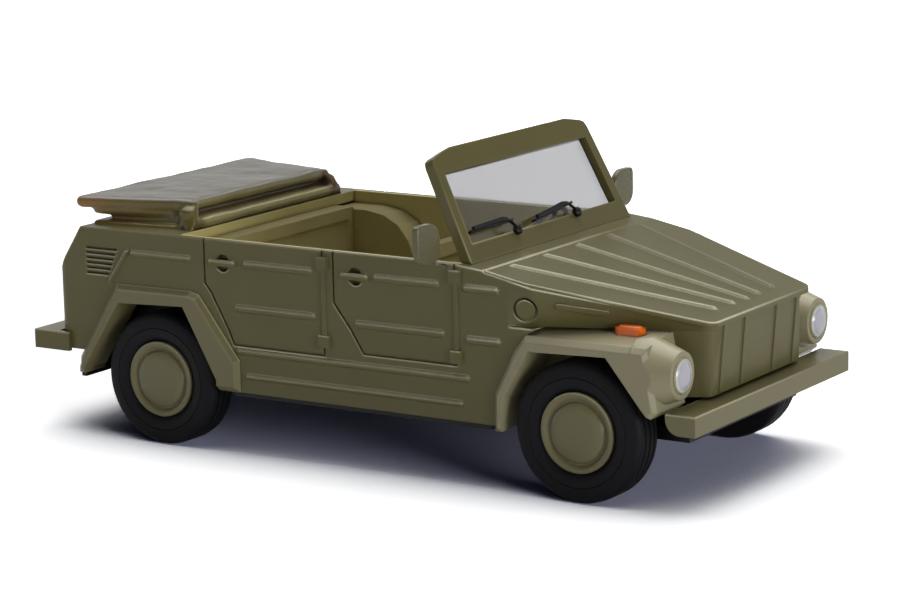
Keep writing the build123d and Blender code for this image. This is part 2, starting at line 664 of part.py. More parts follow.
def screen_opening():
    low = SCREEN_SILL
    high = SCREEN_H - SCREEN_HEADER
    inside = SCREEN_BASE_Y - SCREEN_POST
    return [
        (screen_edge(inside, low), low), (screen_edge(inside, high), high),
        (-screen_edge(inside, high), high), (-screen_edge(inside, low), low),
    ]


def windscreen_frame(shell):
    foot = screen_edge(SCREEN_BASE_Y, -0.4)
    cut = SCREEN_CORNER_R
    corner_up = SCREEN_H - SCREEN_CROWN
    half = [
        (foot, -0.4), (SCREEN_TOP_Y, corner_up - cut), (SCREEN_TOP_Y - cut * 0.3, corner_up - cut * 0.3),
        (SCREEN_TOP_Y - cut, corner_up), (SCREEN_TOP_Y * 0.75, SCREEN_H),
    ]
    outer = half + [(-y, up) for y, up in reversed(half)]
    solid = screen_prism(outer, 0, -SCREEN_T) - screen_prism(screen_opening(), 1, -2)
    solid = solid - block(0, BONNET_TIP_X, -WING_Y, WING_Y, 0, BELT_Z - 0.3)
    return solid - shell


def windscreen_pane():
    return screen_prism(screen_opening(), -PANE_SETBACK, -PANE_SETBACK - PANE_T)


# Wipers as their name, then the pivot and the blade's two ends in shares of the body's half-width.
WIPERS = [("right", -0.372, -0.826, -0.373), ("left", 0.37, -0.128, 0.369)]


def wiper(pivot, near, far):
    """A parked wiper: a blade along the screen's foot, an arm and its pivot on the sill rail."""
    pivot_y, near_y, far_y = (SIDE_Y * share for share in (pivot, near, far))
    low = SCREEN_SILL - 0.01
    blade_up = SCREEN_SILL + 0.61
    boss = screen_prism(
        [(pivot_y - 0.2, low - 0.2), (pivot_y + 0.2, low - 0.2), (pivot_y + 0.2, low + 0.2),
         (pivot_y - 0.2, low + 0.2)], 0.35, 0,
    )
    blade = screen_prism(
        [(near_y, blade_up - 0.14), (far_y, blade_up - 0.14), (far_y, blade_up + 0.14),
         (near_y, blade_up + 0.14)], 0.12, -PANE_SETBACK,
    )
    arm = screen_prism(
        [(pivot_y - 0.1, low), (pivot_y + 0.1, low), (far_y + 0.06, blade_up), (far_y - 0.2, blade_up)],
        0.25, 0,
    )
    return boss + blade + arm


def door_mirror():
    """The left mirror, a flat tab on a stalk from the screen's foot."""
    x = SCREEN_BASE_X - 1.55
    inner, outer = SIDE_Y + 0.23, SIDE_Y + 0.23 + MIRROR_W
    low, high = BELT_Z + 0.15, BELT_Z + 0.15 + MIRROR_H
    cut = MIRROR_W * 0.33
    plate = along(
        outline([
            (inner, low + cut), (inner, high - cut), (inner + cut, high), (outer - 0.2, high),
            (outer, high - 0.2), (outer, low + cut), (outer - cut, low), (inner + cut * 0.6, low),
        ]), x - 0.16, x + 0.16,
    )
    foot = upward(
        outline([
            (x - 0.13, inner + 0.8), (x + 0.13, inner + 0.8), (SCREEN_BASE_X - 0.5, SCREEN_BASE_Y - 0.3),
            (SCREEN_BASE_X - 0.9, SCREEN_BASE_Y - 0.3),
        ]), low - 0.03, low + 0.3,
    )
    return plate + foot


def wheel_box_room():
    """What the chassis's wheel boxes take out of the cabin, with a little clearance."""
    face = offset(rear_recess(), LINER_T + CLEARANCE, kind=Kind.INTERSECTION)
    return both_sides(across(face, CHASSIS_HALF - LINER_T - CLEARANCE, SIDE_Y))


def interior_tub():
    """The cabin's lining: floor, tunnel, dash, bulkheads and the boxes beside the rear bench."""
    side = INNER_Y - CLEARANCE
    front = COWL_X - CLEARANCE
    rear = DECK_FRONT_X + CLEARANCE
    tub = block(rear, front, -side, side, FLOOR_Z, FLOOR_TOP)
    tub += block(DECK_FRONT_X + 0.07 * CABIN, front, -TUNNEL_HALF, TUNNEL_HALF, FLOOR_Z, FLOOR_TOP + 1.05)
    tub += block(front - 0.85, front, -side, side, BELT_Z - 2.9, BELT_Z - 0.25)
    tub += block(front - 0.45, front, -side, side, FLOOR_Z, BELT_Z - 2.5)
    tub += block(rear, rear + 0.35, -side, side, FLOOR_Z, BENCH_TOP_Z)
    arm = DECK_FRONT_X + 0.3 * CABIN
    rest = [
        (rear, FLOOR_Z), (arm, FLOOR_Z), (arm, BENCH_TOP_Z - 2.4), (arm - 0.3, BENCH_TOP_Z - 1.6),
        (arm - 1.0, BENCH_TOP_Z - 0.75), (arm - 2.0, BENCH_TOP_Z - 0.22), (arm - 3.3, BENCH_TOP_Z),
        (rear, BENCH_TOP_Z),
    ]
    tub += both_sides(across(outline(rest), CHASSIS_HALF + 0.2, side))
    return tub - wheel_box_room()


def seat():
    """The left front seat, a cushion and a low leaning back."""
    low_y = SEAT_Y - SEAT_W / 2
    high_y = SEAT_Y + SEAT_W / 2
    rear = DECK_FRONT_X + 0.5 * CABIN
    depth = 0.26 * CABIN
    cushion = block(rear, rear + depth, low_y, high_y, FLOOR_TOP, FLOOR_TOP + SEAT_H)
    slope = 0.047 * CABIN
    back = across(
        outline([
            (rear, FLOOR_TOP), (rear + slope, FLOOR_TOP), (rear, FLOOR_TOP + 6.0),
            (rear - slope, FLOOR_TOP + 6.0),
        ]), low_y, high_y,
    )
    tunnel = block(DECK_FRONT_X, COWL_X, -TUNNEL_HALF, TUNNEL_HALF, 0, FLOOR_TOP + 1.05)
    return cushion + back - tunnel


def rear_bench():
    """One cushion and one back between the wheel boxes."""
    half = CHASSIS_HALF - LINER_T - 0.2
    tunnel_top = FLOOR_TOP + 1.05
    seat_z = FLOOR_TOP + 2.8
    rear = DECK_FRONT_X + 0.45
    cushion = block(rear, DECK_FRONT_X + 0.33 * CABIN, -half, half, FLOOR_TOP, seat_z)
    cushion -= block(DECK_FRONT_X, COWL_X, -TUNNEL_HALF, TUNNEL_HALF, 0, tunnel_top)
    back = across(
        outline([
            (rear, seat_z - 0.2), (rear + 0.08 * CABIN, seat_z - 0.2), (rear + 0.05 * CABIN, BENCH_TOP_Z),
            (rear, BENCH_TOP_Z),
        ]), -CHASSIS_HALF - 0.15, CHASSIS_HALF + 0.15,
    )
    return cushion + back - wheel_box_room()


def steering_wheel(tub):
    """A thin rim with two crossed spokes, on a column from the dash."""
    radius = SEAT_W * 0.42
    ring = RegularPolygon(radius + 0.17, 32) - RegularPolygon(radius - 0.17, 32)
    rim = extrude(ring, 0.17, both=True)
    hub = extrude(RegularPolygon(0.45, 12), 0.2, both=True)
    spokes = Box(2 * radius, 0.3, 0.22) + Box(0.3, 2 * radius, 0.22)
    column = extrude(RegularPolygon(0.22, 12), -2.4)
    whole = Rot(0, -62, 0) * (rim + hub + spokes + column)
    return Pos(COWL_X - 2.7, SEAT_Y, BELT_Z - 1.0) * whole - tub


def tail_lamp():
    high = REAR_BREAK_Z - 0.6
    return block(REAR_X - 0.3, REAR_X + 0.1, SIDE_Y - 1.9, SIDE_Y - 1.0, high - 1.7, high)


# Folds of the soft top: rear end behind the body's rear face, front end ahead of the deck's front, the
# half-widths at the two ends in shares of the body's, the low and high sides above the belt, and the bevel.
FOLDS = [
    (1.30, -0.55, 0.915, 0.720, 1.04, 1.68, 0.24),
    (2.05, -1.35, 0.880, 0.748, 0.60, 1.08, 0.15),
    (2.90, -0.90, 0.810, 0.743, 0.10, 0.70, 0.08),
    (2.05, -0.50, 0.880, 0.804, -0.18, 0.26, 0.10),
    (7.90, 0.05, 0.815, 0.798, 0.04, 0.64, 0.20),
]


def folded_top(shell):
    """The soft top folded on the deck, as tapered folds with bevelled rims."""
    top = []
    for rear, front, rear_share, front_share, low, high, bevel in FOLDS:
        plan = mirrored_plan([
            (REAR_X + rear, SIDE_Y * rear_share), (DECK_FRONT_X + front, SIDE_Y * front_share),
        ])
        slab = upward(outline(plan), BELT_Z + low, BELT_Z + high)
        rims = slab.edges().group_by(Axis.Z)
        top.append(chamfer(rims[0] + rims[-1], bevel))
    for side in (1, -1):
        foot = [
            (side * SIDE_Y * 0.69, 1.5), (side * SIDE_Y * 0.76, 1.5), (side * SIDE_Y * 0.87, 0.1),
            (side * SIDE_Y * 0.80, 0.1),
        ]
        arm = along(
            outline([(y, BELT_Z + up) for y, up in foot]), DECK_FRONT_X - 0.9, DECK_FRONT_X - 0.2
        )
        top.append(arm)
    whole = top[0]
    for fold in top[1:]:
        whole = whole + fold
    under_deck = block(REAR_X, DECK_FRONT_X, -SIDE_Y, SIDE_Y, 0, BELT_Z - 0.02)
    return whole - shell - under_deck


os.makedirs("parts", exist_ok=True)
shell = body_shell()
frame = windscreen_frame(shell)
tub = interior_tub()
nodes = {
    "body_shell": shell,
    "windscreen_frame": frame,
    "windscreen_pane": windscreen_pane(),
    "chassis": chassis(),
    "front_bumper": bumper(BUMPER_FRONT_X, BUMPER_FRONT_Y, BUMPER_FRONT_Z, -1, BUMPER_FRONT_Y - WALL),
    "rear_bumper": rear_bumper(),
    "interior_tub": tub,
    "rear_bench": rear_bench(),
    "steering_wheel": steering_wheel(tub),
    "folded_top": folded_top(shell),
    "front_axle": axle(FRONT_AXLE_X),
    "rear_axle": axle(REAR_AXLE_X),
}
for side, pivot, near, far in WIPERS:
    nodes[f"wiper_{side}"] = wiper(pivot, near, far)
for corner, axle_x, side in CORNERS:
    nodes[f"tyre_{corner}"] = placed(tyre(), axle_x, side)
    nodes[f"wheel_disc_{corner}"] = placed(wheel_disc(), axle_x, side)
pairs = {
    "mirror": door_mirror() - frame - shell,
    "front_wing": front_wing(),
    "rear_wing": rear_wing(),
    "seat": seat(),
    "headlamp": headlamp(),
    "indicator": indicator(),
    "tail_lamp": tail_lamp(),
}
for name, left in pairs.items():
    nodes[f"{name}_left"] = left
    nodes[f"{name}_right"] = mirror(left, Plane.XZ)
for name, shape in nodes.items():
    export_step(shape, f"parts/{name}.step")
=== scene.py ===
"""Small scale model of an open army four-by-four car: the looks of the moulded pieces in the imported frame."""

from math import cos, pi, radians, sin
import bpy
from mathutils import Matrix, Vector


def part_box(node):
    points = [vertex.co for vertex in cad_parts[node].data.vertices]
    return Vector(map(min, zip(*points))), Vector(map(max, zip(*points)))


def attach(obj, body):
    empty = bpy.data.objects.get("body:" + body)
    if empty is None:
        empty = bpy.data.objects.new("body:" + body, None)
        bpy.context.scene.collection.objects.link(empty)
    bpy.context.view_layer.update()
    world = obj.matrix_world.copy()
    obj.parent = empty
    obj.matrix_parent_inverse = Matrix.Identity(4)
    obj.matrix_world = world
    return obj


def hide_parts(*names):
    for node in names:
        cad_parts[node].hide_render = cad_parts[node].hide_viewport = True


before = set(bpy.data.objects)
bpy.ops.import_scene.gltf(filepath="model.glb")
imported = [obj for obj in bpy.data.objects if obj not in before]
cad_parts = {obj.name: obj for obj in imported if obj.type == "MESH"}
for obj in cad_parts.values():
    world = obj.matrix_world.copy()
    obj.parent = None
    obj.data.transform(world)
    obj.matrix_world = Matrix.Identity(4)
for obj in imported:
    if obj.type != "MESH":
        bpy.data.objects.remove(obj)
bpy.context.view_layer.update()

MM = 0.001

# The camera: a long lens close to table height, a third of the way round from the car's side to its nose.
# Its place, turn and lens were solved on the photograph, in the model's own millimetres.
target = Vector((1.165, 0.036, 8.042)) * MM
back = Vector((0.5392, -0.8190, 0.1963)).normalized()
eye_distance = 171.755 * MM
roll = radians(-1.344)
focal_pixels = 3026.33
photo_width = 900
level = Vector((0, 0, 1)).cross(back).normalized()
upright = back.cross(level)
across_x = level * cos(roll) + upright * sin(roll)
across_y = upright * cos(roll) - level * sin(roll)
turned = Matrix((across_x, across_y, back)).transposed().to_4x4()
turned.translation = target + back * eye_distance
lens = bpy.data.cameras.new("studio_lens")
lens.sensor_width = 36
lens.lens = lens.sensor_width * focal_pixels / photo_width
lens.clip_start = 0.01
lens.clip_end = 20
camera = bpy.data.objects.new("studio_camera", lens)
camera.matrix_world = turned
bpy.context.scene.collection.objects.link(camera)
bpy.context.scene.camera = camera


# The table: a seamless sheet of matt white paper that the model stands on, under two soft lamps.
# It shows white to the camera, in gloss and through clear pieces, and keeps the model's soft shadow. Its core
# is painted shadow: close to the car, where little of the room's light reaches the paper, the paper's colour is
# mixed down to a deep blue grey.
def linear(code):
    """An sRGB hex code as a linear colour."""
    parts = [int(code[i:i + 2], 16) / 255 for i in (0, 2, 4)]
    return [p / 12.92 if p <= 0.04045 else ((p + 0.055) / 1.055) ** 2.4 for p in parts] + [1.0]


def add_node(tree, kind, settings=None, inputs=None):
    """Adds one node, sets its properties, and sets or links its inputs."""
    node = tree.nodes.new(kind)
    for name, value in (settings or {}).items():
        setattr(node, name, value)
    for name, value in (inputs or {}).items():
        if hasattr(value, "is_output"):
            tree.links.new(value, node.inputs[name])
        else:
            node.inputs[name].default_value = value
    return node


def new_material(name):
    """A material with an empty node tree."""
    material = bpy.data.materials.new(name)
    material.use_nodes = True
    material.node_tree.nodes.clear()
    return material, material.node_tree


def close_material(tree, shader):
    """Ends a material with the shader that it shows."""
    add_node(tree, "ShaderNodeOutputMaterial", {}, {"Surface": shader.outputs[0]})


def rays(tree):
    """The light path, and 1 for rays that come from the camera, straight or through clear pieces."""
    path = add_node(tree, "ShaderNodeLightPath")
    seen = add_node(tree, "ShaderNodeMath", {"operation": "MAXIMUM"},
                    {0: path.outputs["Is Camera Ray"], 1: path.outputs["Is Transmission Ray"]})
    return path, seen


# Past 1, so that the paper renders white under lamps that are kept low for the model's colours.
BLEACH = 1.6
# How near to the car the paper's sky counts as closed off, where the painted shadow core lies.
CORE_REACH = 11 * MM

sheet_white, tree = new_material("matt_white_photo_sheet")
path, seen = rays(tree)
paper = add_node(tree, "ShaderNodeBsdfDiffuse", {}, {"Color": linear("eeeeef"), "Roughness": 1.0})
open_sky = add_node(tree, "ShaderNodeAmbientOcclusion", {"samples": 16}, {"Distance": CORE_REACH})
clear_of_painted_shadow_core = add_node(tree, "ShaderNodeMapRange", {"interpolation_type": "SMOOTHSTEP"},
                        {"Value": open_sky.outputs["AO"], "From Min": 0.22, "From Max": 0.7})
# Painted shadow: close to the car the paper's colour is mixed down to a deep blue grey.
white = add_node(tree, "ShaderNodeMix", {"data_type": "RGBA"},
                 {"Factor": clear_of_painted_shadow_core.outputs["Result"], "A": linear("a8abc5"),
                  "B": (BLEACH, BLEACH, BLEACH, 1)})
bleached = add_node(tree, "ShaderNodeBsdfDiffuse", {}, {"Color": white.outputs["Result"], "Roughness": 1.0})
glare = add_node(tree, "ShaderNodeBsdfDiffuse", {}, {"Color": linear("f9f9f9"), "Roughness": 1.0})
sheet = add_node(tree, "ShaderNodeMixShader", {},
                 {0: seen.outputs[0], 1: paper.outputs[0], 2: bleached.outputs[0]})
sheet_in_gloss = add_node(tree, "ShaderNodeMixShader", {},
                          {0: path.outputs["Is Glossy Ray"], 1: sheet.outputs[0], 2: glare.outputs[0]})
close_material(tree, sheet_in_gloss)

bpy.ops.object.select_all(action="DESELECT")
bpy.ops.mesh.primitive_plane_add(size=3.0, location=(0, 0, 0))
table = bpy.context.object
table.name = "table_sheet"
table.data.materials.append(sheet_white)

# The room gives the model a faint blue fill. The camera sees it pure white all round, and gloss sees it
# white near the horizon and nearly black overhead, so that the olive's tops stay deep.
world = bpy.data.worlds.new("studio_room")
bpy.context.scene.world = world
bpy.context.scene.view_settings.view_transform = "Standard"
world.use_nodes = True
tree = world.node_tree
tree.nodes.clear()
path, seen = rays(tree)
watched = add_node(tree, "ShaderNodeMath", {"operation": "MAXIMUM"},
                   {0: seen.outputs[0], 1: path.outputs["Is Glossy Ray"]})
fill = add_node(tree, "ShaderNodeBackground", {}, {"Color": linear("9fb2ee"), "Strength": 0.03})
toward = add_node(tree, "ShaderNodeTexCoord").outputs["Generated"]
height = add_node(tree, "ShaderNodeSeparateXYZ", {}, {"Vector": toward})
sweep = add_node(tree, "ShaderNodeMapRange", {"interpolation_type": "SMOOTHSTEP"},
                 {"Value": height.outputs["Z"], "From Min": 0.2, "From Max": 0.35,
                  "To Min": 1.0, "To Max": 0.05})
whiteness = add_node(tree, "ShaderNodeMath", {"operation": "MAXIMUM"},
                     {0: sweep.outputs["Result"], 1: seen.outputs[0]})
shown = add_node(tree, "ShaderNodeBackground", {},
                 {"Color": linear("ffffff"), "Strength": whiteness.outputs[0]})
room = add_node(tree, "ShaderNodeMixShader", {},
                {0: watched.outputs[0], 1: fill.outputs[0], 2: shown.outputs[0]})
add_node(tree, "ShaderNodeOutputWorld", {}, {"Surface": room.outputs[0]})

MODEL_MIDDLE = Vector((0, 0, 0.006))


def add_lamp(name, place, size, power):
    """A square soft box at a place in metres, facing the model."""
    light = bpy.data.lights.new(name, "AREA")
    light.size = size
    light.energy = power
    lamp = bpy.data.objects.new(name, light)
    lamp.location = place
    lamp.rotation_euler = (MODEL_MIDDLE - Vector(place)).to_track_quat("-Z", "Y").to_euler()
    bpy.context.scene.collection.objects.link(lamp)


# A large box hangs over the car's left rear, and a small one stands low off its nose.
add_lamp("softbox_overhead", (-0.12, 0.18, 0.60), 0.74, 5.8)
add_lamp("softbox_nose_side", (0.32, -0.10, 0.045), 0.16, 0.66)


# The body, its wings and its bumpers: injection-moulded styrene sprayed in a satin olive. The spray rounds
# every moulded edge by a few hundredths of a millimetre and leaves a fine grain. Painted shade darkens joint
# lines and recesses, and painted highlights lighten raised edges.
def scale_for(size):
    """The scale of a pattern whose marks are this many millimetres across."""
    return 1 / (size * MM)


# The inside of the body shell: half-width, rear and front X, lowest Z.
CABIN_HALF = 8.62
CABIN_REAR = -11.22
CABIN_FRONT = 7.6
CABIN_LOW = 7.5


def moulded_plastic(name, colour, shade, painted_shade_colour, roughness, edge_mm=0.07, shine=0.5,
                    inside=None, painted_light_on_tops=None, painted_edge_highlight=None):
    """Moulded styrene: two close tones in wide clouds, painted shade in joint lines and recesses, and a fine
    grain.

    A lighter or darker tone can lie inside the cabin, partly painted light; on tops that face up, as painted
    light when lighter and painted shade when darker; and on raised edges that face up, as painted highlights,
    strongest on the car's right, towards the nose and below the belt.
    """
    material, tree = new_material(name)
    place = add_node(tree, "ShaderNodeTexCoord").outputs["Object"]
    where = add_node(tree, "ShaderNodeSeparateXYZ", {}, {"Vector": place})
    facing = add_node(tree, "ShaderNodeNewGeometry").outputs["Normal"]
    layers = []
    # Partly painted light: the cabin's inner faces take a golden tone far lighter than the outside's olive.
    if inside:
        off_middle = add_node(tree, "ShaderNodeMath", {"operation": "ABSOLUTE"}, {0: where.outputs["Y"]})
        share = 1.0
        for kind, value, limit in (("LESS_THAN", off_middle.outputs[0], CABIN_HALF),
                                   ("GREATER_THAN", where.outputs["X"], CABIN_REAR),
                                   ("LESS_THAN", where.outputs["X"], CABIN_FRONT),
                                   ("GREATER_THAN", where.outputs["Z"], CABIN_LOW)):
            passed = add_node(tree, "ShaderNodeMath", {"operation": kind}, {0: value, 1: limit * MM})
            share = add_node(tree, "ShaderNodeMath", {"operation": "MULTIPLY"},
                             {0: share, 1: passed.outputs[0]}).outputs[0]
        layers.append((share, inside))
    # Painted light on faces that look up: a lighter tone is painted light, a darker one painted shade.
    if painted_light_on_tops:
        upward = add_node(tree, "ShaderNodeSeparateXYZ", {}, {"Vector": facing})
        lying = add_node(tree, "ShaderNodeMapRange", {},
                         {"Value": upward.outputs["Z"], "From Min": 0.3, "From Max": 0.9})
        layers.append((lying.outputs["Result"], painted_light_on_tops))
    # Painted shade: the shade colour is mixed in where the surface is occluded, in joints and recesses.
    nook = add_node(tree, "ShaderNodeAmbientOcclusion", {"samples": 8}, {"Distance": 0.35 * MM})
    painted_shade_in_creases = add_node(tree, "ShaderNodeMapRange", {},
                    {"Value": nook.outputs["AO"], "From Min": 0.25, "From Max": 0.8,
                     "To Min": 1.0, "To Max": 0.0})
    layers.append((painted_shade_in_creases.outputs["Result"], painted_shade_colour))
    # Painted highlight: raised edges that face up turn lighter, most on the car's right, towards the nose and
    # below the belt.
    if painted_edge_highlight:
        wide = add_node(tree, "ShaderNodeBevel", {"samples": 6}, {"Radius": 0.2 * MM}).outputs["Normal"]
        agree = add_node(tree, "ShaderNodeVectorMath", {"operation": "DOT_PRODUCT"}, {0: wide, 1: facing})
        edge = add_node(tree, "ShaderNodeMapRange", {},
                        {"Value": agree.outputs["Value"], "From Min": 0.998, "From Max": 0.95})
        edge_up = add_node(tree, "ShaderNodeSeparateXYZ", {}, {"Vector": wide})
        above = add_node(tree, "ShaderNodeMapRange", {},
                         {"Value": edge_up.outputs["Z"], "From Min": 0.1, "From Max": 0.5})
        proud = add_node(tree, "ShaderNodeMapRange", {},
                         {"Value": nook.outputs["AO"], "From Min": 0.6, "From Max": 0.85})
        right_side = add_node(tree, "ShaderNodeMapRange", {},
                              {"Value": where.outputs["Y"], "From Min": 5 * MM, "From Max": -4 * MM,
                               "To Min": 0.12, "To Max": 1.0})
        fore_end = add_node(tree, "ShaderNodeMapRange", {},
                            {"Value": where.outputs["X"], "From Min": 6 * MM, "From Max": 9 * MM,
                             "To Min": 0.12, "To Max": 1.0})
        low_down = add_node(tree, "ShaderNodeMapRange", {},
                            {"Value": where.outputs["Z"], "From Min": 11.9 * MM, "From Max": 11.6 * MM,
                             "To Max": 0.62})
        either = add_node(tree, "ShaderNodeMath", {"operation": "MAXIMUM"},
                          {0: fore_end.outputs["Result"], 1: low_down.outputs["Result"]})
        share = edge.outputs["Result"]
        for part in (above, proud, right_side, either):
            share = add_node(tree, "ShaderNodeMath", {"operation": "MULTIPLY"},
                             {0: share, 1: part.outputs[0]}).outputs[0]
        layers.append((share, painted_edge_highlight))
    cloud = add_node(tree, "ShaderNodeTexNoise", {},
                     {"Vector": place, "Scale": scale_for(3.85), "Detail": 3.0})
    tone = add_node(tree, "ShaderNodeMix", {"data_type": "RGBA"},
                    {"Factor": cloud.outputs["Fac"], "A": linear(colour), "B": linear(shade)})
    for share, code in layers:
        tone = add_node(tree, "ShaderNodeMix", {"data_type": "RGBA"},
                        {"Factor": share, "A": tone.outputs["Result"], "B": linear(code)})
    # A real spray's grain is finer than this and wouldn't show.
    grain = add_node(tree, "ShaderNodeTexNoise", {},
                     {"Vector": place, "Scale": scale_for(0.111), "Detail": 2.0})
    satin = add_node(tree, "ShaderNodeMapRange", {},
                     {"Value": grain.outputs["Fac"], "To Min": roughness - 0.04, "To Max": roughness + 0.05})
    rounded = add_node(tree, "ShaderNodeBevel", {"samples": 6}, {"Radius": edge_mm * MM})
    bump = add_node(tree, "ShaderNodeBump", {},
                    {"Height": grain.outputs["Fac"], "Strength": 0.08, "Distance": 0.02 * MM,
                     "Normal": rounded.outputs["Normal"]})
    shader = add_node(tree, "ShaderNodeBsdfPrincipled", {},
                      {"Base Color": tone.outputs["Result"], "Roughness": satin.outputs["Result"],
                       "IOR": 1.5, "Specular IOR Level": shine, "Normal": bump.outputs["Normal"]})
    close_material(tree, shader)
    return material


def dress(material, *nodes):
    """Gives carried-over nodes their finish."""
    for name in nodes:
        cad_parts[name].data.materials.clear()
        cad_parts[name].data.materials.append(material)


# Four coats of the same olive: the plain one; the shell's, with a golden inside made far lighter as painted
# light; a greyer one, partly a coat of its own and partly painted light where its pieces catch more light;
# and a pale one, painted light on the front wings, with more painted light on its tops.
olive = moulded_plastic("satin_olive_sprayed_styrene", "5d5731", "56502a", "544e2c", 0.30, 0.08, 0.30,
                        painted_edge_highlight="c9c49c")
body_olive = moulded_plastic("satin_olive_outside_golden_painted_light_inside", "615c38", "5a5431", "615c3b",
                             0.35, 0.08, 0.25, inside="d0c483", painted_edge_highlight="e6e2c2")
soft_olive = moulded_plastic("satin_greyish_olive_sprayed_styrene", "716b4b", "696343", "4e492e",
                             0.32, 0.08, 0.32, painted_edge_highlight="bdb892")
olive_painted_pale_by_light = moulded_plastic("satin_olive_painted_pale_by_light_sprayed_styrene", "8d8769", "857f61", "68634a",
                             0.32, 0.10, 0.35, painted_light_on_tops="a09a7c")
dress(body_olive, "body_shell")
dress(olive, "windscreen_frame", "rear_bumper")
dress(soft_olive, "front_bumper", "rear_wing_left", "rear_wing_right")
dress(olive_painted_pale_by_light, "front_wing_left", "front_wing_right")


# The lining of the cabin: one tub with dash, floor and side boxes, moulded in a sandy olive and left bare,
# so that it looks dull. Painted shade makes it darker where it faces up between the walls and in its creases.
# The seats and the rear bench are separate cushions of the same plastic, soft-edged with a sunk middle panel.
def near(a, b):
    """Equal to a hundredth of a millimetre."""
    return abs(a - b) < 0.01


def block(low, high):
    """A box between two corners in millimetres, as the start of a piece."""
    bpy.ops.object.select_all(action="DESELECT")
    low, high = Vector(low), Vector(high)
    bpy.ops.mesh.primitive_cube_add(size=1, location=(low + high) / 2, scale=high - low)
    bpy.ops.object.transform_apply(location=True, rotation=True, scale=True)
    return bpy.context.object


def choose(piece, kind, test):
    """Opens a piece with only those corners, edges or faces selected that pass the test."""
    bpy.context.view_layer.objects.active = piece
    bpy.ops.object.mode_set(mode="EDIT")
    bpy.ops.mesh.select_mode(type=kind)
    bpy.ops.mesh.select_all(action="DESELECT")
    bpy.ops.object.mode_set(mode="OBJECT")
    mesh = piece.data
    if kind == "VERT":
        for corner in mesh.vertices:
            corner.select = test(corner.co)
    if kind == "EDGE":
        for edge in mesh.edges:
            edge.select = test(*(mesh.vertices[i].co for i in edge.vertices))
    if kind == "FACE":
        for face in mesh.polygons:
            face.select = test(face.center, face.normal)
    bpy.ops.object.mode_set(mode="EDIT")


def soften(piece, width, steps, test=lambda a, b: True):
    """Rounds the edges that pass the test."""
    choose(piece, "EDGE", test)
    bpy.ops.mesh.bevel(offset=width, segments=steps, affect="EDGES")
    bpy.ops.object.mode_set(mode="OBJECT")


def rings(piece, outward, rows, test=lambda c: True):
    """Steps the faces that look outward in or out, each row an inset and a push along that axis."""
    outward = Vector(outward)
    choose(piece, "FACE", lambda c, n: n.dot(outward) > 0.9 and test(c))
    for inset, push in rows:
        bpy.ops.mesh.inset(thickness=inset)
        bpy.ops.transform.translate(value=outward * push)
    bpy.ops.object.mode_set(mode="OBJECT")


def joined(first, *others):
    """Several shapes as one piece."""
    bpy.ops.object.select_all(action="DESELECT")
    for shape in (first, *others):
        shape.select_set(True)
    bpy.context.view_layer.objects.active = first
    bpy.ops.object.join()
    return first


def copied(piece, matrix):
    """A copy with a mesh of its own, moved or mirrored."""
    mesh = piece.data.copy()
    mesh.transform(matrix)
    copy = bpy.data.objects.new(piece.name, mesh)
    bpy.context.scene.collection.objects.link(copy)
    return copy


def finish(piece, name, material, replaced, body="body", angle=35):
    """Ends a piece: metres, faces outward, soft shading, its finish, and the body it rides on."""
    bpy.ops.object.select_all(action="DESELECT")
    piece.select_set(True)
    bpy.context.view_layer.objects.active = piece
    piece.scale = (MM, MM, MM)
    bpy.ops.object.transform_apply(location=True, rotation=True, scale=True)
    bpy.ops.object.mode_set(mode="EDIT")
    bpy.ops.mesh.select_all(action="SELECT")
    bpy.ops.mesh.normals_make_consistent(inside=False)
    bpy.ops.object.mode_set(mode="OBJECT")
    bpy.ops.object.shade_smooth_by_angle(angle=radians(angle))
    piece.name = name
    piece.data.name = name
    if material:
        piece.data.materials.clear()
        piece.data.materials.append(material)
    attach(piece, body)
    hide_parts(replaced)


def corners(node):
    """The lowest and highest corner of a node's box, in millimetres."""
    return [Vector(v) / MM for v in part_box(node)]


MIRROR_Y = Matrix.Diagonal((1, -1, 1, 1))
PANEL_SUNK = 0.12
PAD_ROUND = 0.3
BACKREST_TOP = 1.2
SEAT_PAD_H = 2.5
SEAT_REST_X = 0.9
SEAT_REST_THICK = 0.85
SEAT_LEAN = 0.88
BENCH_PAD_H = 2.8
BENCH_REST_X = -0.4
BENCH_REST_THICK = 1.3
BENCH_REST_WIDER = 0.35

# Painted shade: darker on faces that look up and in creases.
cabin = moulded_plastic("olive_brown_moulded_styrene", "b8ac78", "b0a470", "9b9060", 0.6, 0.05, 0.2,
                        painted_light_on_tops="6c633b")
dress(cabin, "interior_tub")


def cushion(low, high, face, rim, lean=0.0):
    """A moulded pad: soft edges, a panel sunk into its face inside a rim, its top pushed back by lean."""
    pad = block(low, high)
    rings(pad, face, [(rim, 0.0), (PANEL_SUNK, -PANEL_SUNK)])
    choose(pad, "VERT", lambda v: v.z > high[2] - BACKREST_TOP)
    bpy.ops.transform.translate(value=(-lean, 0, 0))
    bpy.ops.object.mode_set(mode="OBJECT")
    soften(pad, PAD_ROUND, 4, lambda a, b: near(a.y, b.y) and (near(a.y, low[1]) or near(a.y, high[1])))
    return pad


seat_low, seat_high = corners("seat_left")
rest_x = seat_low.x + SEAT_REST_X
pad = cushion((rest_x + 0.05, seat_low.y, seat_low.z), (seat_high.x, seat_high.y, seat_low.z + SEAT_PAD_H),
              (0, 0, 1), 0.75)
rest = cushion((rest_x, seat_low.y + 0.1, seat_low.z + 0.3),
               (rest_x + SEAT_REST_THICK, seat_high.y - 0.1, seat_high.z), (1, 0, 0), 0.8, lean=SEAT_LEAN)
seat = joined(pad, rest)
finish(copied(seat, MIRROR_Y), "seat_cushions_right", cabin, "seat_right")
finish(seat, "seat_cushions_left", cabin, "seat_left")

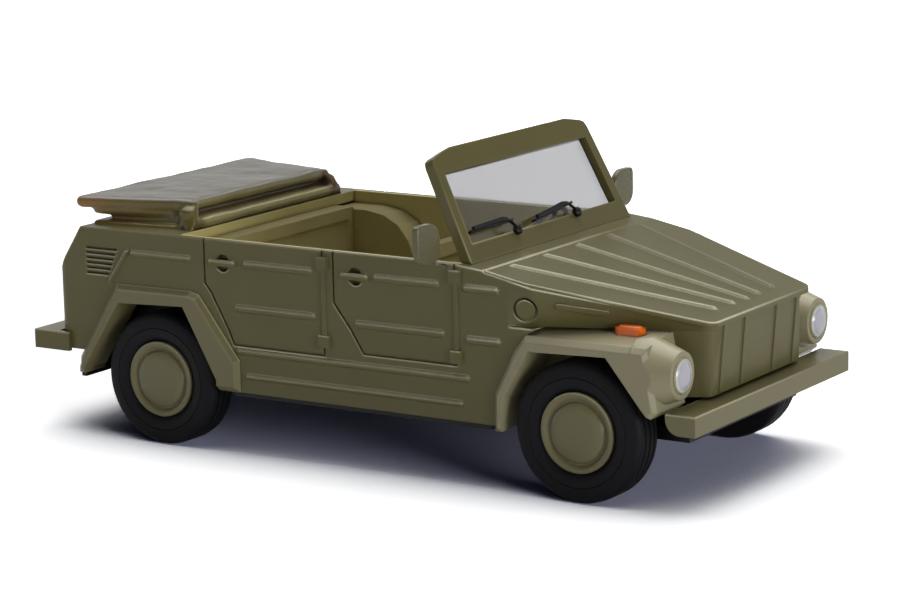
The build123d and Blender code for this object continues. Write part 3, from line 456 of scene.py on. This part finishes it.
bench_low, bench_high = corners("rear_bench")
rest_x = bench_low.x + BENCH_REST_X
seat_top = bench_low.z + BENCH_PAD_H
pad = cushion((bench_low.x, bench_low.y + 0.15, bench_low.z), (bench_high.x, bench_high.y - 0.15, seat_top),
              (0, 0, 1), 0.8)
rest = cushion((rest_x, bench_low.y - BENCH_REST_WIDER, seat_top - 0.3),
               (rest_x + BENCH_REST_THICK, bench_high.y + BENCH_REST_WIDER, bench_high.z + 0.15),
               (1, 0, 0), 0.7)
finish(joined(pad, rest), "rear_bench_cushions", cabin, "rear_bench")


# The steering wheel: a thin ring with two crossed spokes and a boss, pressed on a column from the dash.
# It is moulded in black styrene and left bare, so it looks an even, half-dull black.
RING_R = 2.06
RING_THICK_R = 0.16
SPOKE_HALF = 0.16
BOSS_R = 0.48
BOSS_HALF = 0.18
COLUMN_TILT = radians(-62)


def round_blank(radius, low, high, sides, turn=(0, 0, 0)):
    """A round blank between two points on its axis, in millimetres, as the start of a piece."""
    bpy.ops.object.select_all(action="DESELECT")
    low, high = Vector(low), Vector(high)
    bpy.ops.mesh.primitive_cylinder_add(vertices=sides, radius=radius, depth=(high - low).length,
                                        rotation=turn, location=(low + high) / 2)
    bpy.ops.object.transform_apply(location=True, rotation=True, scale=True)
    return bpy.context.object


wheel_low, wheel_high = corners("steering_wheel")
wheel_middle = Vector((4.75, (wheel_low.y + wheel_high.y) / 2, 11.16))
black = moulded_plastic("black_moulded_styrene", "101012", "0b0b0c", "050506", 0.42, 0.03, 0.25)
bpy.ops.object.select_all(action="DESELECT")
bpy.ops.mesh.primitive_torus_add(major_radius=RING_R, minor_radius=RING_THICK_R,
                                 major_segments=64, minor_segments=12)
ring = bpy.context.object
spokes = [block((-along, -across, -0.1), (along, across, 0.08))
          for along, across in ((RING_R, SPOKE_HALF), (SPOKE_HALF, RING_R))]
for spoke in spokes:
    soften(spoke, 0.05, 2)
boss = round_blank(BOSS_R, (0, 0, -BOSS_HALF), (0, 0, BOSS_HALF), 32)
rings(boss, (0, 0, 1), [(0.08, 0.06), (0.12, 0.0), (0.03, -0.05)])
rings(boss, (0, 0, -1), [(0.26, 0.0), (0.01, 2.0)])
steering = joined(ring, *spokes, boss)
steering.data.transform(Matrix.Translation(wheel_middle) @ Matrix.Rotation(COLUMN_TILT, 4, "Y"))
finish(steering, "steering_wheel_ring", black, "steering_wheel")


# The windscreen: one clear styrene pane, polished on both faces, pressed into the moulded frame.
# The plastic is thick for the model's size, so it greys what is behind it a little.
clear, tree = new_material("clear_polished_styrene")
place = add_node(tree, "ShaderNodeTexCoord").outputs["Object"]
flow = add_node(tree, "ShaderNodeTexNoise", {}, {"Vector": place, "Scale": scale_for(2.38), "Detail": 2.0})
gloss = add_node(tree, "ShaderNodeMapRange", {},
                 {"Value": flow.outputs["Fac"], "To Min": 0.02, "To Max": 0.07})
ripple = add_node(tree, "ShaderNodeBump", {},
                  {"Height": flow.outputs["Fac"], "Strength": 0.03, "Distance": 0.02 * MM})
shader = add_node(tree, "ShaderNodeBsdfPrincipled", {},
                  {"Base Color": linear("d4d4d6"), "Roughness": gloss.outputs["Result"], "IOR": 1.5,
                   "Transmission Weight": 1.0, "Normal": ripple.outputs["Normal"]})
close_material(tree, shader)
dress(clear, "windscreen_pane")


# The wipers: black bars with a thick pivot knob, glued low across the pane. Each is drawn flat on the
# screen's plane, in millimetres to the left of the middle and up the leaning face, then laid on it.
SCREEN_TILT = radians(26.5)
SCREEN_FOOT = Vector((8.1, 0, 12.25))
screen_up = Vector((-sin(SCREEN_TILT), 0, cos(SCREEN_TILT)))
screen_face = Vector((cos(SCREEN_TILT), 0, sin(SCREEN_TILT)))
on_screen = Matrix((Vector((0, 1, 0)), screen_up, screen_face)).transposed().to_4x4()
on_screen.translation = SCREEN_FOOT


def bar(start, width, steps, depth):
    """A flat bar drawn from its start edge step by step, each row along, up, turn and new width."""
    x, y = start
    bpy.ops.object.select_all(action="DESELECT")
    bpy.ops.mesh.primitive_plane_add(size=width, location=(x - width / 2, y, 0))
    bpy.ops.object.transform_apply(location=True, rotation=True, scale=True)
    piece = bpy.context.object
    choose(piece, "VERT", lambda v: v.x < x - width / 2)
    bpy.ops.transform.translate(value=(width * 0.6, 0, 0))
    choose(piece, "EDGE", lambda a, b: near(a.x, x) and near(b.x, x))
    middle = Vector((x, y, 0))
    for dx, dy, turn, grow in steps:
        bpy.ops.mesh.extrude_edges_move(TRANSFORM_OT_translate={"value": (dx, dy, 0)})
        middle += Vector((dx, dy, 0))
        bpy.ops.transform.rotate(value=radians(turn), orient_axis="Z", center_override=middle)
        bpy.ops.transform.resize(value=(grow, grow, 1), center_override=middle)
    bpy.ops.mesh.select_all(action="SELECT")
    bpy.ops.mesh.extrude_region_move(TRANSFORM_OT_translate={"value": (0, 0, depth)})
    bpy.ops.object.mode_set(mode="OBJECT")
    return piece


BLADE_L = 4.3
BLADE_LOW = 1.46
BLADE_HIGH = 1.62
BLADE_HALF = 0.16
ARM_W = 0.22
ARM_THICK = 0.2
ARM_LIFT = 0.1
PIVOT_UP = 0.92
PIVOT_R = 0.28
PIVOT_DOME = [(0.042, 0.05), (0.056, 0.03), (0.07, 0.01)]
WIPER_ARM = [(1.6, 0.03, 0, 1.0), (1.2, 0.02, -8, 1.1), (0.55, -0.12, -20, 1.15), (0.35, -0.28, -18, 1.1),
             (0.2, -0.36, -8, 1.0)]

for side_name, start_y, lean in (("right", -7.45, 0), ("left", -1.15, 5)):
    blade = block((start_y, BLADE_LOW, -BLADE_HALF), (start_y + BLADE_L, BLADE_HIGH, BLADE_HALF))
    soften(blade, 0.05, 2)
    arm = bar((start_y + 0.3, BLADE_HIGH + 0.04), ARM_W, WIPER_ARM, ARM_THICK)
    arm.data.transform(Matrix.Translation((0, 0, ARM_LIFT)))
    soften(arm, 0.05, 2)
    pivot = Vector((start_y + BLADE_L, PIVOT_UP, 0))
    knob = round_blank(PIVOT_R, pivot + Vector((0, 0, -0.02)), pivot + Vector((0, 0, 0.22)), 32)
    rings(knob, (0, 0, 1), PIVOT_DOME)
    wiper = joined(blade, arm, knob)
    leaned = Matrix.Translation(pivot) @ Matrix.Rotation(radians(lean), 4, "Z") @ Matrix.Translation(-pivot)
    wiper.data.transform(on_screen @ leaned)
    finish(wiper, f"wiper_arm_{side_name}", black, f"wiper_{side_name}")


# The door mirrors: thin plates with a rounded inner top on a cranked foot, one moulding in clear styrene.
# A film of olive grey spray leaves them all but opaque, with the soft depth of the plastic below it.
smoky, tree = new_material("smoky_olive_clear_styrene")
place = add_node(tree, "ShaderNodeTexCoord").outputs["Object"]
flow = add_node(tree, "ShaderNodeTexNoise", {}, {"Vector": place, "Scale": scale_for(1.43), "Detail": 3.0})
film = add_node(tree, "ShaderNodeMix", {"data_type": "RGBA"},
                {"Factor": flow.outputs["Fac"], "A": linear("6a664b"), "B": linear("605c41")})
gloss = add_node(tree, "ShaderNodeMapRange", {},
                 {"Value": flow.outputs["Fac"], "To Min": 0.2, "To Max": 0.35})
shader = add_node(tree, "ShaderNodeBsdfPrincipled", {},
                  {"Base Color": film.outputs["Result"], "Roughness": gloss.outputs["Result"], "IOR": 1.5,
                   "Transmission Weight": 0.1, "Specular IOR Level": 0.3})
close_material(tree, shader)

MIRROR_X = 6.55
PLATE_HALF = 0.16
PLATE_IN = 9.25
PLATE_OUT = 11.35
PLATE_LOW = 12.3
PLATE_HIGH = 14.45
FOOT_HALF = 0.13
FOOT_IN = 9.6
FOOT_OUT = 10.0
# The plate's corners: outer or not, upper or not, and the radius and steps of their round.
PLATE_ROUNDS = ((False, True, 0.95, 8), (True, True, 0.3, 4), (True, False, 0.8, 6), (False, False, 0.6, 6))
# The foot's bends on the way down to the door: step, and how much wider it gets.
FOOT_BENDS = (((0.1, -0.45, -0.12), 0.9), ((0.25, -0.5, -0.1), 1.0), ((0.35, -0.6, -0.12), 1.1))

plate = block((MIRROR_X - PLATE_HALF, PLATE_IN, PLATE_LOW), (MIRROR_X + PLATE_HALF, PLATE_OUT, PLATE_HIGH))
for outer, upper, radius, steps in PLATE_ROUNDS:
    corner_y = PLATE_OUT if outer else PLATE_IN
    corner_z = PLATE_HIGH if upper else PLATE_LOW
    soften(plate, radius, steps, lambda a, b: all(near(end.y, corner_y) and near(end.z, corner_z)
                                                  for end in (a, b)))
rings(plate, (-1, 0, 0), [(0.05, 0.03), (0.08, 0.0), (0.02, -0.04)])
rings(plate, (1, 0, 0), [(0.05, 0.04)])
foot = block((MIRROR_X - FOOT_HALF, FOOT_IN, PLATE_LOW - 0.1),
             (MIRROR_X + FOOT_HALF, FOOT_OUT, PLATE_LOW + 0.2))
choose(foot, "FACE", lambda c, n: n.z < -0.9)
for step, grow in FOOT_BENDS:
    bpy.ops.mesh.extrude_region_move(TRANSFORM_OT_translate={"value": step})
    bpy.ops.transform.resize(value=(grow, grow, 1))
bpy.ops.object.mode_set(mode="OBJECT")
soften(foot, 0.06, 2)
mirror = joined(plate, foot)
finish(copied(mirror, MIRROR_Y), "mirror_plate_right", smoky, "mirror_right")
finish(mirror, "mirror_plate_left", smoky, "mirror_left")


# The soft top, folded down behind the bench: one solid moulding of stacked folds with a rolled front edge.
# It is sprayed olive with a semi-gloss top, and its corners are rubbed back to an amber brown. A painted
# highlight lightens its rolled front edge, a painted grey sheen lies on its topmost fold, and painted shade
# lies between its folds.
SIDES = {"left": 1, "right": -1}
# Columns: rear and front X, half-widths at the rear and the front, low and high Z, roll of the edge.
HOOD_FOLDS = [
    (-19.20, -11.85, 8.40, 6.45, 13.18, 13.84, 0.30),
    (-18.30, -12.70, 8.00, 6.85, 12.80, 13.30, 0.22),
    (-17.40, -12.00, 7.40, 6.80, 12.30, 12.95, 0.15),
    (-18.30, -11.60, 8.05, 7.25, 11.95, 12.45, 0.20),
    (-12.45, -11.25, 7.40, 7.30, 12.18, 12.80, 0.28),
]
# The strap that holds the folds at each front end, from the top down: X, distance from the middle, Z.
STRAP_PATH = [(-12.0, 6.35, 13.75), (-11.75, 6.6, 13.3), (-11.55, 6.95, 12.9), (-11.6, 7.2, 12.4),
              (-11.65, 7.3, 12.15)]
STRAP_W = 0.5
STRAP_THICK = 0.42
# The bunch of cloth below the strap: rear and front X, low and high Z, its middle and half its width.
BUNCH_REAR = -12.6
BUNCH_FRONT = -11.5
BUNCH_LOW = 12.15
BUNCH_HIGH = 13.45
BUNCH_Y = 6.8
BUNCH_HALF = 0.4
SKIN_STEP = 0.11


def fold(rear, front, rear_half, front_half, low, high, roll):
    """One fold of the hood: a tapered slab with rounded corners and a rolled edge."""
    slab = block((rear, -rear_half, low), (front, rear_half, high))
    choose(slab, "VERT", lambda v: near(v.x, front))
    bpy.ops.transform.resize(value=(1, front_half / rear_half, 1), center_override=(front, 0, 0))
    soften(slab, 0.5, 5, lambda a, b: near(a.x, b.x) and near(a.y, b.y))
    soften(slab, roll, 4, lambda a, b: near(a.z, b.z))
    return slab


def strap(points, width, thickness):
    """A strip of cloth laid along points, its width along the car."""
    x, y, z = points[0]
    strip = block((x - width / 2, y - thickness / 2, z - 0.1), (x + width / 2, y + thickness / 2, z))
    choose(strip, "FACE", lambda c, n: n.z < -0.9)
    for a, b in zip(points, points[1:]):
        bpy.ops.mesh.extrude_region_move(TRANSFORM_OT_translate={"value": Vector(b) - Vector(a)})
    bpy.ops.object.mode_set(mode="OBJECT")
    return strip


folds = [fold(*row) for row in HOOD_FOLDS]
for side in SIDES.values():
    folds.append(strap([(x, side * y, z) for x, y, z in STRAP_PATH], STRAP_W, STRAP_THICK))
    bunch = block((BUNCH_REAR, side * BUNCH_Y - BUNCH_HALF, BUNCH_LOW),
                  (BUNCH_FRONT, side * BUNCH_Y + BUNCH_HALF, BUNCH_HIGH))
    soften(bunch, 0.35, 4)
    folds.append(bunch)
hood_top = joined(*folds)
one_skin = hood_top.modifiers.new("one_skin", "REMESH")
one_skin.mode = "VOXEL"
one_skin.voxel_size = SKIN_STEP
bpy.ops.object.modifier_apply(modifier=one_skin.name)
soft_folds = hood_top.modifiers.new("soft_folds", "SMOOTH")
soft_folds.factor = 0.5
soft_folds.iterations = 6
bpy.ops.object.modifier_apply(modifier=soft_folds.name)
sag = bpy.data.textures.new("uneven_cloth", "CLOUDS")
sag.noise_scale = 2.6
uneven = hood_top.modifiers.new("uneven_cloth", "DISPLACE")
uneven.texture = sag
uneven.texture_coords = "LOCAL"
uneven.strength = 0.16
bpy.ops.object.modifier_apply(modifier=uneven.name)

hood, tree = new_material("semi_gloss_olive_hood_styrene")
place = add_node(tree, "ShaderNodeTexCoord").outputs["Object"]
where = add_node(tree, "ShaderNodeSeparateXYZ", {}, {"Vector": place})
off_middle = add_node(tree, "ShaderNodeMath", {"operation": "ABSOLUTE"}, {0: where.outputs["Y"]})
cloud = add_node(tree, "ShaderNodeTexNoise", {}, {"Vector": place, "Scale": scale_for(3.03), "Detail": 4.0})
tone = add_node(tree, "ShaderNodeMix", {"data_type": "RGBA"},
                {"Factor": cloud.outputs["Fac"], "A": linear("645e30"), "B": linear("534d24")})

# Painted highlight: the rolled front edge, between the straps, lightened.
fore = add_node(tree, "ShaderNodeMapRange", {},
                {"Value": where.outputs["X"], "From Min": -12.4 * MM, "From Max": -11.7 * MM})
between = add_node(tree, "ShaderNodeMapRange", {},
                   {"Value": off_middle.outputs[0], "From Min": 6.5 * MM, "From Max": 6.0 * MM})
painted_highlight_on_front_roll = add_node(tree, "ShaderNodeMath", {"operation": "MULTIPLY"},
                      {0: fore.outputs["Result"], 1: between.outputs["Result"]})

# The rubbed ends, with a wavy border, strongest towards the rear.
wavy = add_node(tree, "ShaderNodeMath", {"operation": "MULTIPLY_ADD"},
                {0: cloud.outputs["Fac"], 1: 1.6 * MM, 2: off_middle.outputs[0]})
end = add_node(tree, "ShaderNodeMapRange", {},
               {"Value": wavy.outputs[0], "From Min": 7.3 * MM, "From Max": 8.4 * MM})
rearward = add_node(tree, "ShaderNodeMapRange", {},
                    {"Value": where.outputs["X"], "From Min": -16.8 * MM, "From Max": -18.0 * MM})
strength = add_node(tree, "ShaderNodeMath", {"operation": "MULTIPLY_ADD"},
                    {0: rearward.outputs["Result"], 1: 0.6, 2: 0.4})
rubbed_end = add_node(tree, "ShaderNodeMath", {"operation": "MULTIPLY", "use_clamp": True},
                      {0: end.outputs["Result"], 1: strength.outputs[0]})

# The brown front corner on the left.
left_end = add_node(tree, "ShaderNodeMapRange", {},
                    {"Value": where.outputs["Y"], "From Min": 5.9 * MM, "From Max": 6.6 * MM})
brown_corner = add_node(tree, "ShaderNodeMath", {"operation": "MULTIPLY"},
                        {0: left_end.outputs["Result"], 1: fore.outputs["Result"]})

# Painted sheen: the flat of the topmost fold turns grey. Painted shade: the dark between the folds.
topmost = add_node(tree, "ShaderNodeMapRange", {},
                   {"Value": where.outputs["Z"], "From Min": 13.62 * MM, "From Max": 13.78 * MM})
painted_sheen_on_top_fold = add_node(tree, "ShaderNodeMath", {"operation": "MULTIPLY"}, {0: topmost.outputs["Result"], 1: 0.8})
nook = add_node(tree, "ShaderNodeAmbientOcclusion", {"samples": 8}, {"Distance": 0.8 * MM})
painted_shade_between_folds = add_node(tree, "ShaderNodeMapRange", {},
                {"Value": nook.outputs["AO"], "From Min": 0.2, "From Max": 0.75,
                 "To Min": 1.0, "To Max": 0.0})

# Mixed over the olive in turn: painted highlight, rubbed ends, brown corner, painted sheen, painted shade.
for share, code in ((painted_highlight_on_front_roll, "8b8355"), (rubbed_end, "7a5a1e"), (brown_corner, "6e4f35"),
                    (painted_sheen_on_top_fold, "696560"), (painted_shade_between_folds, "423033")):
    tone = add_node(tree, "ShaderNodeMix", {"data_type": "RGBA"},
                    {"Factor": share.outputs[0], "A": tone.outputs["Result"], "B": linear(code)})
creases = add_node(tree, "ShaderNodeTexNoise", {},
                   {"Vector": place, "Scale": scale_for(0.667), "Detail": 3.0})
bump = add_node(tree, "ShaderNodeBump", {},
                {"Height": creases.outputs["Fac"], "Strength": 0.25, "Distance": 0.04 * MM})
shader = add_node(tree, "ShaderNodeBsdfPrincipled", {},
                  {"Base Color": tone.outputs["Result"], "Roughness": 0.36, "IOR": 1.5,
                   "Normal": bump.outputs["Normal"]})
close_material(tree, shader)
finish(hood_top, "folded_soft_top", hood, "folded_top", angle=60)


# The headlamps: clear plugs with a flat rim round a fluted dome, pushed into the wings' housings. The rim's
# off-white is a painted highlight, the glint of the clear edge.
# The bare plastic behind the flutes makes them look pale lilac grey, and the wing's spray runs over their
# outermost edge.
def flutes_for(pitch):
    """The scale of a wave texture, which repeats each tenth of pi, for bands this many millimetres apart."""
    return pi / 10 / (pitch * MM)


fluted, tree = new_material("frosted_clear_lens_styrene")
place = add_node(tree, "ShaderNodeTexCoord").outputs["Object"]
flutes = add_node(tree, "ShaderNodeTexWave", {"bands_direction": "Y"},
                  {"Vector": place, "Scale": flutes_for(0.349)})
bump = add_node(tree, "ShaderNodeBump", {},
                {"Height": flutes.outputs["Fac"], "Strength": 0.25, "Distance": 0.04 * MM})
shader = add_node(tree, "ShaderNodeBsdfPrincipled", {},
                  {"Base Color": linear("c6c5d0"), "Roughness": 0.16, "IOR": 1.5, "Transmission Weight": 0.25,
                   "Normal": bump.outputs["Normal"]})
close_material(tree, shader)

# Painted highlight: the clear rim's glint, given as an off-white colour.
rim_painted_glint, tree = new_material("clear_styrene_rim_painted_glint")
place = add_node(tree, "ShaderNodeTexCoord").outputs["Object"]
speck = add_node(tree, "ShaderNodeTexNoise", {}, {"Vector": place, "Scale": scale_for(0.4)})
edge_tone = add_node(tree, "ShaderNodeMix", {"data_type": "RGBA"},
                     {"Factor": speck.outputs["Fac"], "A": linear("cfcec8"), "B": linear("bdbcb4")})
shader = add_node(tree, "ShaderNodeBsdfPrincipled", {},
                  {"Base Color": edge_tone.outputs["Result"], "Roughness": 0.12, "IOR": 1.5})
close_material(tree, shader)

SPRAYED_W = 0.08
RIM_W = 0.2
DOME_RISE = 0.3
LENS_RINGS = [(0.03, 0.05), (0.07, 0.03), (0.04, -0.05), (0.10, 0.10), (0.14, 0.08), (0.18, 0.05),
              (0.2, 0.02)]

lamp_low, lamp_high = corners("headlamp_left")
lamp_y = (lamp_low.y + lamp_high.y) / 2
lamp_z = (lamp_low.z + lamp_high.z) / 2
lens_r = (lamp_high.y - lamp_low.y) / 2
rim_x = lamp_high.x - DOME_RISE
plug = round_blank(lens_r, (lamp_low.x, lamp_y, lamp_z), (rim_x, lamp_y, lamp_z), 64, turn=(0, pi / 2, 0))
rings(plug, (1, 0, 0), LENS_RINGS)
for material in (fluted, rim_painted_glint, olive_painted_pale_by_light):
    plug.data.materials.append(material)
for face in plug.data.polygons:
    reach = Vector((0, face.center.y - lamp_y, face.center.z - lamp_z)).length
    face.material_index = 2 if reach > lens_r - SPRAYED_W else 1 if reach > lens_r - RIM_W else 0
finish(copied(plug, MIRROR_Y), "headlamp_lens_right", None, "headlamp_right")
finish(plug, "headlamp_lens_left", None, "headlamp_left")


# The turn lamps and the tail lamps: styrene coloured orange or red in the mass, moulded solid with soft
# corners and a raised field, and glued into the wings' tops and the rear panel. It looks bright and even,
# with fine flutes and a little light inside.
def lens_plastic(name, colour, shade):
    """Coloured lens styrene with a soft flow mark and fine upright flutes."""
    material, tree = new_material(name)
    place = add_node(tree, "ShaderNodeTexCoord").outputs["Object"]
    flow = add_node(tree, "ShaderNodeTexNoise", {},
                    {"Vector": place, "Scale": scale_for(0.833), "Detail": 2.0})
    tone = add_node(tree, "ShaderNodeMix", {"data_type": "RGBA"},
                    {"Factor": flow.outputs["Fac"], "A": linear(colour), "B": linear(shade)})
    flutes = add_node(tree, "ShaderNodeTexWave", {"bands_direction": "Z"},
                      {"Vector": place, "Scale": flutes_for(0.2856)})
    bump = add_node(tree, "ShaderNodeBump", {},
                    {"Height": flutes.outputs["Fac"], "Strength": 0.15, "Distance": 0.02 * MM})
    shader = add_node(tree, "ShaderNodeBsdfPrincipled", {},
                      {"Base Color": tone.outputs["Result"], "Roughness": 0.18, "IOR": 1.5,
                       "Transmission Weight": 0.15, "Normal": bump.outputs["Normal"]})
    close_material(tree, shader)
    return material


TURN_ROUND = 0.38
TURN_FIELD = [(0.06, 0.0), (0.05, -0.05), (0.04, 0.07), (0.06, 0.06), (0.08, 0.03)]
TAIL_ROUND = 0.14
TAIL_FIELD = [(0.06, 0.0), (0.04, 0.06), (0.08, 0.02)]
TAIL_SPLIT = 0.62

orange = lens_plastic("orange_transparent_styrene", "ff7d12", "f56f08")
red = lens_plastic("red_transparent_styrene", "b3231b", "951710")
turn = block(*corners("indicator_left"))
soften(turn, TURN_ROUND, 6, lambda a, b: near(a.x, b.x) and near(a.y, b.y))
rings(turn, (0, 0, 1), TURN_FIELD)
finish(copied(turn, MIRROR_Y), "turn_lamp_right", orange, "indicator_right")
finish(turn, "turn_lamp_left", orange, "indicator_left")

tail_low, tail_high = corners("tail_lamp_left")
split_z = tail_low.z + TAIL_SPLIT
tail = block(tail_low, tail_high)
soften(tail, TAIL_ROUND, 4, lambda a, b: near(a.y, b.y) and near(a.z, b.z))
choose(tail, "FACE", lambda c, n: True)
bpy.ops.mesh.bisect(plane_co=(0, 0, split_z), plane_no=(0, 0, 1))
bpy.ops.object.mode_set(mode="OBJECT")
rings(tail, (-1, 0, 0), TAIL_FIELD, lambda c: c.z > split_z)
rings(tail, (-1, 0, 0), TAIL_FIELD, lambda c: c.z <= split_z)
finish(copied(tail, MIRROR_Y), "tail_lens_right", red, "tail_lamp_right")
finish(tail, "tail_lens_left", red, "tail_lamp_left")


# The chassis and its axles: a black moulded base, whose black also serves as painted shade in the wheel
# wells that it lines, and two plain steel pins that carry the wheels.
# The pins are drawn wire, bright with fine lines round them from the drawing, shown coarser than they are.
dress(black, "chassis")
steel, tree = new_material("drawn_steel_pin")
place = add_node(tree, "ShaderNodeTexCoord").outputs["Object"]
lines = add_node(tree, "ShaderNodeTexWave", {"bands_direction": "Y"},
                 {"Vector": place, "Scale": flutes_for(0.1047), "Distortion": 2.0})
polish = add_node(tree, "ShaderNodeMapRange", {},
                  {"Value": lines.outputs["Fac"], "To Min": 0.25, "To Max": 0.4})
shader = add_node(tree, "ShaderNodeBsdfPrincipled", {},
                  {"Base Color": linear("b4b5b6"), "Roughness": polish.outputs["Result"], "Metallic": 1.0})
close_material(tree, shader)
dress(steel, "front_axle", "rear_axle")


# The wheels: a dull black tyre of soft plastic pressed over an olive disc, both turned true to the axle.
# The tyre has round shoulders, a raised ring on its sidewall and three grooves round its tread.
TREAD_GROOVES = ((-0.52, -0.40), (-0.06, 0.06), (0.40, 0.52))
GROOVE_DEEP = 0.1
SHOULDER_R = 0.42
SIDEWALL = [(0.10, 0.03), (0.30, 0.02), (0.05, -0.04), (0.05, 0.04), (0.35, -0.04), (0.2, -0.10),
            (0.18, -0.14)]
BORE_CAP = 0.5
DISC_INSET = 0.25
DISC_PROUD = 0.02
DISC_FACE = [(0.12, 0.0), (0.18, -0.09), (0.10, -0.10), (0.07, 0.0), (0.06, 0.10), (0.10, 0.08), (0.45, 0.04),
             (0.50, 0.02)]
DISC_BACK = [(1.15, 0.0), (0.03, 0.05)]

tyre_black = moulded_plastic("black_tyre_plastic", "121216", "0e0e11", "060607", 0.6, 0.03, 0.15)


def wheel_blank(radius, low, high):
    """A round blank about the Y axis, its outer face at the higher Y."""
    return round_blank(radius, (0, low, 0), (0, high, 0), 96, turn=(pi / 2, 0, 0))


tyre_low, tyre_high = corners("tyre_front_left")
disc_low, disc_high = corners("wheel_disc_front_left")
tyre_r = (tyre_high.x - tyre_low.x) / 2
disc_r = (disc_high.x - disc_low.x) / 2
half = (tyre_high.y - tyre_low.y) / 2

tyre = wheel_blank(tyre_r, -half, half)
for groove in TREAD_GROOVES:
    for cut in groove:
        choose(tyre, "FACE", lambda c, n: True)
        bpy.ops.mesh.bisect(plane_co=(0, cut, 0), plane_no=(0, 1, 0))
choose(tyre, "FACE", lambda c, n: abs(n.y) < 0.1 and any(low < c.y < high for low, high in TREAD_GROOVES))
bpy.ops.mesh.inset(thickness=0.015)
bpy.ops.transform.shrink_fatten(value=-GROOVE_DEEP)
bpy.ops.object.mode_set(mode="OBJECT")
soften(tyre, SHOULDER_R, 5, lambda a, b: near(abs(a.y), half) and near(abs(b.y), half))
for side in (1, -1):
    rings(tyre, (0, side, 0), SIDEWALL, lambda c: c.xz.length < BORE_CAP)
choose(tyre, "FACE", lambda c, n: abs(n.y) > 0.99 and c.xz.length < BORE_CAP)
bpy.ops.mesh.bridge_edge_loops()
bpy.ops.object.mode_set(mode="OBJECT")

disc = wheel_blank(disc_r, -half + DISC_INSET, half + DISC_PROUD)
soften(disc, 0.05, 2, lambda a, b: near(a.y, half + DISC_PROUD) and near(b.y, half + DISC_PROUD))
rings(disc, (0, 1, 0), DISC_FACE, lambda c: c.xz.length < BORE_CAP)
rings(disc, (0, -1, 0), DISC_BACK)

for side_name, side in SIDES.items():
    for end, body in (("front", "front_axle_set"), ("rear", "rear_axle_set")):
        low, high = corners(f"tyre_{end}_{side_name}")
        place = Matrix.Translation((low + high) / 2) @ Matrix.Diagonal((1, side, 1, 1))
        finish(copied(tyre, place), f"tyre_ring_{end}_{side_name}", tyre_black,
               f"tyre_{end}_{side_name}", body)
        finish(copied(disc, place), f"wheel_dish_{end}_{side_name}", soft_olive,
               f"wheel_disc_{end}_{side_name}", body)
for blank in (tyre, disc):
    bpy.data.objects.remove(blank)
